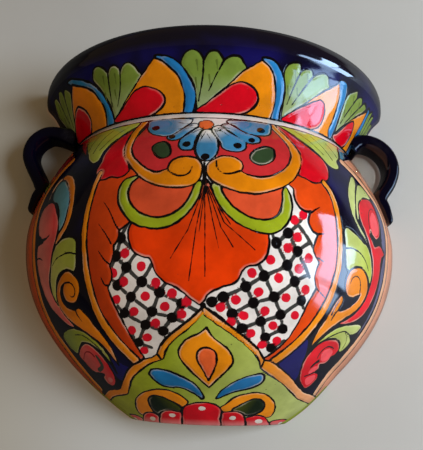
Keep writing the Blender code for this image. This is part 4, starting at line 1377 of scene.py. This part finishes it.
def press_foot(mesh):
    """Pushes the right of the foot out a little, as the maker's hands left it."""
    pot = sizes()
    x, y, z = read(mesh.vertices, "co")
    turn = np.arctan2(x, pot.axis_setback - y)
    outer = np.hypot(x, pot.axis_setback - y) > belly_radius_at(z) - 0.001
    side = np.clip((np.degrees(turn) - PRESS_START) / PRESS_SPAN, 0, 1)
    low = np.clip(1 - (z + pot.belly_drop) / PRESS_HEIGHT, 0, 1)
    push = pot.foot_swell * outer * side ** 2 * (3 - 2 * side) * low ** 2 * (3 - 2 * low)
    moved = np.stack([x + push * np.sin(turn), y, z], 1)
    mesh.vertices.foreach_set("co", moved.ravel())
    mesh.update()


def inner_belly():
    """Inner side of the belly wall, from its lowest point up to the neck."""
    pot = sizes()
    outer = even_outline(belly_radius_at, -pot.belly_drop, pot.shoulder_rise, pot.inner_grain)
    inner = moved_in(outer, pot.wall)
    inner[-1] = (pot.neck_radius - pot.wall, pot.shoulder_rise)
    return inner


def lip_arc(roll, start, end, count):
    """Quarter of the lip's round top, with its own roll width, by angle from the rim."""
    pot = sizes()
    crown = pot.rim_radius - pot.lip_outer_roll
    rim = pot.shoulder_rise + pot.collar_rise
    arc = [(a, rim + pot.lip_rise * math.sin(a)) for a in np.linspace(start, end, count)]
    return [(crown + roll * math.cos(a) + lip_swell(z), z) for a, z in arc]


def drilled(piece, centre, turn_x, diameter, depth):
    """Cuts a round hole through a piece."""
    bm = bmesh.new()
    bmesh.ops.create_cone(bm, cap_ends=True, segments=48, radius1=diameter / 2, radius2=diameter / 2,
                          depth=depth)
    bmesh.ops.rotate(bm, verts=bm.verts, cent=(0, 0, 0), matrix=Matrix.Rotation(turn_x, 3, "X"))
    bmesh.ops.translate(bm, verts=bm.verts, vec=centre)
    mesh = bpy.data.meshes.new("drill")
    bm.to_mesh(mesh)
    bm.free()
    drill = bpy.data.objects.new("drill", mesh)
    bpy.context.scene.collection.objects.link(drill)
    boolean = piece.modifiers.new("hole", "BOOLEAN")
    boolean.object = drill
    boolean.solver = "EXACT"
    bpy.context.view_layer.update()
    whole = piece.evaluated_get(bpy.context.evaluated_depsgraph_get())
    cut = bpy.data.meshes.new_from_object(whole)
    piece.modifiers.clear()
    piece.data = cut
    bpy.data.objects.remove(drill)


class PLANTER_OT_belly(bpy.types.Operator):
    """Belly with its foot ring and its painting"""

    bl_idname = "planter.belly"
    bl_label = "Belly"

    def execute(self, context):
        pot, g = sizes(), glazes()
        foot, neck = -pot.belly_drop, pot.shoulder_rise
        outer = even_outline(belly_radius_at, foot, neck, pot.belly_grain)
        inner = inner_belly()
        ring = pot.foot_radius - pot.foot_ring
        bm = bmesh.new()
        turned(bm, outer + inner[::-1] + [(ring, inner[0][1]), (ring, foot)], True, pot.belly_grain,
               pot.belly_radius)
        cut_back(bm, back_plane())
        piece = finished("painted_belly", bm, "belly_shell", [painted_glaze(), bare_clay()])
        arc, rise = developed(piece.data, belly_radius_at, foot, neck, 0.0)
        p = Painting(arc, rise, BELLY_LAYERS, pot.belly_grain)
        for paint in (paint_panels, paint_shell, paint_scrolls, paint_flower, paint_left_side,
                      paint_right_side, paint_stripes, paint_foot, paint_neck):
            paint(p, g)
        p.keep(piece.data)
        split_skin(piece.data, belly_radius_at, pot.wall / 3)
        press_foot(piece.data)
        return {"FINISHED"}


class PLANTER_OT_collar(bpy.types.Operator):
    """Flared collar with its painting"""

    bl_idname = "planter.collar"
    bl_label = "Collar"

    def execute(self, context):
        pot, g = sizes(), glazes()
        neck = pot.shoulder_rise
        rim = neck + pot.collar_rise
        root = rim - pot.lip_root
        outer = even_outline(collar_radius_at, neck, root, pot.collar_grain)
        inner = [(r - pot.collar_wall, z)
                 for r, z in even_outline(collar_radius_at, neck, root, pot.inner_grain)]
        bm = bmesh.new()
        turned(bm, outer + inner[::-1], True, pot.collar_grain, pot.rim_radius)
        cut_back(bm, back_plane())
        piece = finished("painted_collar", bm, "collar", [collar_glaze(), cobalt_glaze()])
        arc, rise = developed(piece.data, collar_radius_at, neck, rim, neck)
        p = Painting(arc, rise, COLLAR_LAYERS, pot.collar_grain)
        paint_collar(p, g)
        p.keep(piece.data)
        split_skin(piece.data, collar_radius_at, pot.collar_wall / 3)
        return {"FINISHED"}


class PLANTER_OT_lip(bpy.types.Operator):
    """Thick rolled lip"""

    bl_idname = "planter.lip"
    bl_label = "Lip"

    def execute(self, context):
        pot = sizes()
        rim = pot.shoulder_rise + pot.collar_rise
        root = rim - pot.lip_root
        flare = even_outline(collar_radius_at, root, rim, LIP_RUN)
        over = lip_arc(pot.lip_outer_roll, 0, math.pi / 2, 14)[1:]
        inside = lip_arc(pot.lip_inner_roll, math.pi / 2, math.pi, 12)[1:]
        low = (flare[0][0] - pot.collar_wall, root)
        bm = bmesh.new()
        turned(bm, flare + over + inside + [low], True, LIP_GRAIN, pot.rim_radius)
        cut_back(bm, back_plane())
        finished("glazed_lip", bm, "rolled_lip", [cobalt_glaze()])
        return {"FINISHED"}


class PLANTER_OT_back(bpy.types.Operator):
    """Flat back slab with its hanging hole"""

    bl_idname = "planter.back"
    bl_label = "Back slab"

    def execute(self, context):
        pot = sizes()
        foot, neck = -pot.belly_drop, pot.shoulder_rise
        rim = neck + pot.collar_rise
        inside = pot.axis_setback * INSIDE_SHARE
        outline = ([(inside, foot)] + even_outline(belly_radius_at, foot, neck, BACK_RUN)
                   + even_outline(collar_radius_at, neck, rim, BACK_RUN)[1:]
                   + lip_arc(pot.lip_outer_roll, 0, math.pi / 2, 10)[1:]
                   + [(inside, rim + pot.lip_rise)])
        bm = bmesh.new()
        turned(bm, outline, False, LIP_GRAIN, pot.rim_radius)
        cut_at(bm, back_plane(), clear_inner=True)
        cut_back(bm, 0.0)
        clay, lip, band, green = range(4)
        piece = finished("back_slab_clay", bm, "back_slab",
                         [bare_clay(), cobalt_glaze(), band_glaze(), foot_glaze()])
        hole = Vector((0, 0, rim + pot.lip_rise - pot.hanger_drop))
        drilled(piece, hole, math.pi / 2, pot.hanger_diameter, pot.back_thickness * 4)
        for face in piece.data.polygons:
            place = face.center
            away = math.hypot(place.x, place.z - hole.z)
            if abs(face.normal.y) < 0.9 and place.length > pot.hanger_diameter:
                edge = lip if place.z > neck else (band if place.z > foot + FOOT_EDGE else green)
                face.material_index = clay if away < pot.hanger_diameter else edge
        press_foot(piece.data)
        return {"FINISHED"}


class PLANTER_OT_floor(bpy.types.Operator):
    """Floor on the foot ring's ledge, with its drain hole"""

    bl_idname = "planter.floor"
    bl_label = "Floor"

    def execute(self, context):
        pot = sizes()
        inner = inner_belly()
        radii, heights = np.array(inner).T
        bottom = heights[0]
        top = bottom + pot.floor_thickness
        inside = pot.axis_setback * INSIDE_SHARE
        section = [(inside, bottom), (np.interp(bottom, heights, radii) - FLOOR_GAP, bottom),
                   (np.interp(top, heights, radii) - FLOOR_GAP, top), (inside, top)]
        bm = bmesh.new()
        turned(bm, section, False, FLOOR_GRAIN, pot.foot_radius)
        cut_back(bm, back_plane())
        piece = finished("floor_slab_clay", bm, "floor_slab", [bare_clay()])
        drain_y = back_plane() - DRAIN_SETBACK - pot.drain_diameter / 2
        drilled(piece, (0, drain_y, bottom), 0.0, pot.drain_diameter, pot.floor_thickness * 4)
        return {"FINISHED"}


def surface_x(z, y):
    """How far from the middle line the pot's outside lies, at a height and a depth."""
    pot = sizes()
    radius = belly_radius_at(z) if z < pot.shoulder_rise else collar_radius_at(z)
    return math.sqrt(radius ** 2 - (pot.axis_setback - y) ** 2)


def ear_path(stand_out, loop_height, top):
    """Middle line of the right ear as (x, z), from inside the collar to the tail's end."""
    pot = sizes()
    y = -(pot.ear_to_wall + pot.ear_depth / 2)
    lie = pot.ear_thickness / 2 - pot.ear_sink
    arch = top - loop_height
    centre = surface_x(loop_height, y) + stand_out - arch
    start = (surface_x(top, y) - pot.ear_sink * 1.6, top - pot.ear_thickness / 3)
    loop = [(centre + arch * math.cos(a), loop_height + arch * math.sin(a)) for a in np.radians(EAR_TURNS)]
    mid_tail = (pot.ear_land_height + pot.ear_tail_height) / 2
    heights = (pot.ear_land_height, mid_tail, pot.ear_tail_height)
    tail = [(surface_x(z, y) + lie - press, z) for z, press in zip(heights, TAIL_PRESS)]
    return [start] + loop + tail


def strap_stations(stand_out, loop_height, top):
    """Places along the right ear with the strap's direction and width."""
    pot = sizes()
    y = -(pot.ear_to_wall + pot.ear_depth / 2)
    path = [tuple(place) for place in smooth_outline(ear_path(stand_out, loop_height, top), False)]
    count = len(path)
    landing = count - 9
    widths = [(1 + 0.65 * max(0.0, 1 - i / 5) ** 2 - 0.3 * max(0, i - landing) / 8, 1.0)
              for i in range(count)]
    end, before = np.array(path[-1]), np.array(path[-2])
    ahead = (end - before) / np.linalg.norm(end - before)
    for a in np.radians(TAIL_ROUND):
        path.append(tuple(end + ahead * pot.ear_thickness * 0.4 * math.sin(a)))
        widths.append((0.7 * math.cos(a), 1 - 0.35 * (1 - math.cos(a))))
    stations = []
    for i, (x, z) in enumerate(path):
        x0, z0 = path[max(i - 1, 0)]
        x1, z1 = path[min(i + 1, len(path) - 1)]
        along = Vector((x1 - x0, 0, z1 - z0)).normalized()
        wide = Vector((0, 1, 0))
        turn = Matrix((wide.cross(along), wide, along)).transposed().to_4x4()
        stations.append(Matrix.Translation((x, y, z)) @ turn @ Matrix.Diagonal((*widths[i], 1, 1)))
    return stations


def make_ear(name, node_name, side, stations):
    """One strap ear, extruded ring by ring along its path."""
    pot = sizes()
    bm = bmesh.new()
    ring = bmesh.ops.create_circle(bm, cap_ends=False, segments=36, radius=1.0)["verts"]
    for vert in ring:
        x, y = vert.co.xy
        vert.co.x = math.copysign(abs(x) ** STRAP_SQUARENESS, x) * pot.ear_thickness / 2
        vert.co.y = math.copysign(abs(y) ** STRAP_SQUARENESS, y) * pot.ear_depth / 2
    bmesh.ops.transform(bm, matrix=stations[0], verts=ring)
    edges = bm.edges[:]
    bmesh.ops.contextual_create(bm, geom=edges)
    for before, after in zip(stations, stations[1:]):
        made = bmesh.ops.extrude_edge_only(bm, edges=edges)["geom"]
        ring = [part for part in made if isinstance(part, bmesh.types.BMVert)]
        edges = [part for part in made if isinstance(part, bmesh.types.BMEdge)]
        edges = [edge for edge in edges if all(vert in ring for vert in edge.verts)]
        bmesh.ops.transform(bm, matrix=after @ before.inverted(), verts=ring)
    bmesh.ops.contextual_create(bm, geom=edges)
    bmesh.ops.scale(bm, vec=(side, 1, 1), verts=bm.verts)
    bmesh.ops.recalc_face_normals(bm, faces=bm.faces[:])
    return finished(name, bm, node_name, [ear_glaze()])


class PLANTER_OT_ears(bpy.types.Operator):
    """Both strap ears"""

    bl_idname = "planter.ears"
    bl_label = "Ears"

    def execute(self, context):
        pot = sizes()
        make_ear("strap_ear_left", "ear_left", -1,
                 strap_stations(pot.left_stand_out, pot.left_loop_height, pot.left_ear_top))
        make_ear("strap_ear_right", "ear_right", 1,
                 strap_stations(pot.right_stand_out, pot.right_loop_height, pot.right_ear_top))
        return {"FINISHED"}


def lamp(name, place, aim, width, height, watts, colour, mirrored=False, spread=180):
    """A soft rectangular lamp turned to its aim, which lights or is only mirrored in the glaze."""
    data = bpy.data.lights.new(name, "AREA")
    data.shape = "RECTANGLE"
    data.size = width
    data.size_y = height
    data.energy = watts
    data.color = colour
    data.spread = math.radians(spread)
    made = bpy.data.objects.new(name, data)
    made.location = place
    made.rotation_mode = "QUATERNION"
    made.rotation_quaternion = (Vector(aim) - Vector(place)).to_track_quat("-Z", "Y")
    made.visible_glossy = mirrored
    made.visible_diffuse = not mirrored
    bpy.context.scene.collection.objects.link(made)


@made_once
def pale_sheet(name):
    """Pale matte sheet, shown from its front only, with a painted shadow on its left; darker in
    reflections.
    """
    material, tree, shader = new_material(name)
    colour = bpy.context.scene.planter_stage.backdrop
    place = object_place(tree)
    cloud = ramp(tree, noise(tree, place, 9, 3.0), 0.3, 0.7)
    tone = mixed(tree, cloud, solid(colour, 0.95), solid(colour))
    # Painted shadow: left of the pot and below its top, the sheet is tinted darker and warmer.
    aside = axis(tree, place, "X")
    above = ramp(tree, axis(tree, place, "Z"), 0.1, 0.2)
    lit = maths(tree, "MAXIMUM", ramp(tree, aside, -0.22, -0.05), above)
    tone = mixed(tree, lit, solid(np.multiply(colour, SHADED_TINT)), tone)
    # In the glaze's reflection the sheet is painted dark, and lighter towards the right: painted shade and
    # light.
    sheen = mixed(tree, ramp(tree, aside, 0.08, 0.22), solid(colour, 0.1), solid(colour, 0.4))
    mirrored = node(tree, "ShaderNodeLightPath").outputs["Is Glossy Ray"]
    tree.links.new(mixed(tree, mirrored, tone, sheen), shader.inputs["Base Color"])
    shader.inputs["Roughness"].default_value = 0.9
    clear = node(tree, "ShaderNodeBsdfTransparent").outputs[0]
    behind = node(tree, "ShaderNodeNewGeometry").outputs["Backfacing"]
    either = node(tree, "ShaderNodeMixShader", {0: behind, 1: shader.outputs[0], 2: clear})
    tree.links.new(either.outputs[0], tree.nodes["Material Output"].inputs["Surface"])
    return material


def lay_sheet(scene):
    """The sheet that the pot's back lies on."""
    bm = bmesh.new()
    bmesh.ops.create_grid(bm, x_segments=2, y_segments=2, size=SHEET_REACH)
    bmesh.ops.rotate(bm, verts=bm.verts, cent=(0, 0, 0), matrix=Matrix.Rotation(math.pi / 2, 3, "X"))
    bmesh.ops.translate(bm, verts=bm.verts, vec=(0, SHEET_SETBACK, 0))
    mesh = bpy.data.meshes.new("pale_sheet")
    bm.to_mesh(mesh)
    bm.free()
    mesh.materials.append(pale_sheet())
    sheet = bpy.data.objects.new("pale_sheet", mesh)
    scene.collection.objects.link(sheet)
    sheet.visible_diffuse = False
    sheet.visible_shadow = False


def light_pot(stage):
    """The window that the glaze mirrors, and the lamps."""
    for name, (turn, lift, width, height, share) in WINDOW_PANES.items():
        turn, lift = math.radians(turn), math.radians(lift)
        flat = math.cos(lift)
        ahead = Vector((math.sin(turn) * flat, -math.cos(turn) * flat, math.sin(lift)))
        lamp("window_" + name, ahead * WINDOW_DISTANCE + WINDOW_AIM, WINDOW_AIM, width, height,
             stage.window_power * share, WINDOW_COLOUR, mirrored=True)
    for name, (place, aim, size, colour, spread) in LAMPS.items():
        lamp(name, place, aim, size, size, getattr(stage, name + "_power"), colour, spread=spread)


def light_room(scene, stage):
    """A warm room, darker where the glaze mirrors it and pale where the camera sees it."""
    world = bpy.data.worlds.new("room")
    scene.world = world
    world.use_nodes = True
    tree = world.node_tree
    tree.nodes.clear()
    ray = node(tree, "ShaderNodeLightPath").outputs
    level = ramp(tree, ray["Is Glossy Ray"], 0.0, 1.0, stage.room, stage.room * ROOM_MIRRORED)
    room = node(tree, "ShaderNodeBackground", {"Color": ROOM_COLOUR, "Strength": level}).outputs[0]
    pale = node(tree, "ShaderNodeBackground", {"Color": solid(stage.backdrop), "Strength": 1.0}).outputs[0]
    either = node(tree, "ShaderNodeMixShader", {0: ray["Is Camera Ray"], 1: room, 2: pale})
    node(tree, "ShaderNodeOutputWorld", {"Surface": either.outputs[0]})


def place_camera(scene, stage):
    """The camera, turned about its view."""
    data = bpy.data.cameras.new("camera")
    data.lens = stage.lens
    data.clip_start = 0.01
    camera = bpy.data.objects.new("camera", data)
    scene.collection.objects.link(camera)
    e = stage.elevation
    right = Vector((1, 0, 0))
    up = Vector((0, math.sin(e), math.cos(e)))
    back = Vector((0, -math.cos(e), math.sin(e)))
    target = Vector((stage.target_x, 0, stage.target_z))
    turn = Matrix((right, up, back)).transposed().to_4x4()
    camera.matrix_world = (Matrix.Translation(target + back * stage.distance) @ turn
                           @ Matrix.Rotation(stage.roll, 4, "Z"))
    scene.camera = camera


class PLANTER_OT_stage(bpy.types.Operator):
    """Pale sheet, lamps, room light and camera"""

    bl_idname = "planter.stage"
    bl_label = "Stage"

    def execute(self, context):
        scene = context.scene
        lay_sheet(scene)
        light_pot(scene.planter_stage)
        light_room(scene, scene.planter_stage)
        place_camera(scene, scene.planter_stage)
        scene.view_settings.view_transform = "Standard"
        return {"FINISHED"}


class PLANTER_PT_pieces(bpy.types.Panel):
    """Lists the planter's pieces"""

    bl_idname = "PLANTER_PT_pieces"
    bl_label = "Painted wall planter"
    bl_space_type = "VIEW_3D"
    bl_region_type = "UI"
    bl_category = "Planter"

    def draw(self, context):
        for operator in OPERATORS:
            self.layout.operator(operator.bl_idname)
        for values in (context.scene.planter_sizes, context.scene.planter_glazes,
                       context.scene.planter_stage):
            box = self.layout.box()
            for name in values.__annotations__:
                box.prop(values, name)


OPERATORS = (PLANTER_OT_belly, PLANTER_OT_collar, PLANTER_OT_lip, PLANTER_OT_back, PLANTER_OT_floor,
             PLANTER_OT_ears, PLANTER_OT_stage)
CLASSES = (PlanterSizes, PlanterGlazes, PlanterStage) + OPERATORS + (PLANTER_PT_pieces,)


def register():
    """Adds the classes and the scene's values."""
    for item in CLASSES:
        bpy.utils.register_class(item)
    bpy.types.Scene.planter_sizes = PointerProperty(type=PlanterSizes)
    bpy.types.Scene.planter_glazes = PointerProperty(type=PlanterGlazes)
    bpy.types.Scene.planter_stage = PointerProperty(type=PlanterStage)


def unregister():
    """Takes the classes and the scene's values away again."""
    del bpy.types.Scene.planter_stage
    del bpy.types.Scene.planter_glazes
    del bpy.types.Scene.planter_sizes
    for item in reversed(CLASSES):
        bpy.utils.unregister_class(item)


def main():
    """Builds every piece and the stage."""
    register()
    for operator in OPERATORS:
        group_name, operator_name = operator.bl_idname.split(".")
        getattr(getattr(bpy.ops, group_name), operator_name)()


if __name__ == "__main__":
    main()
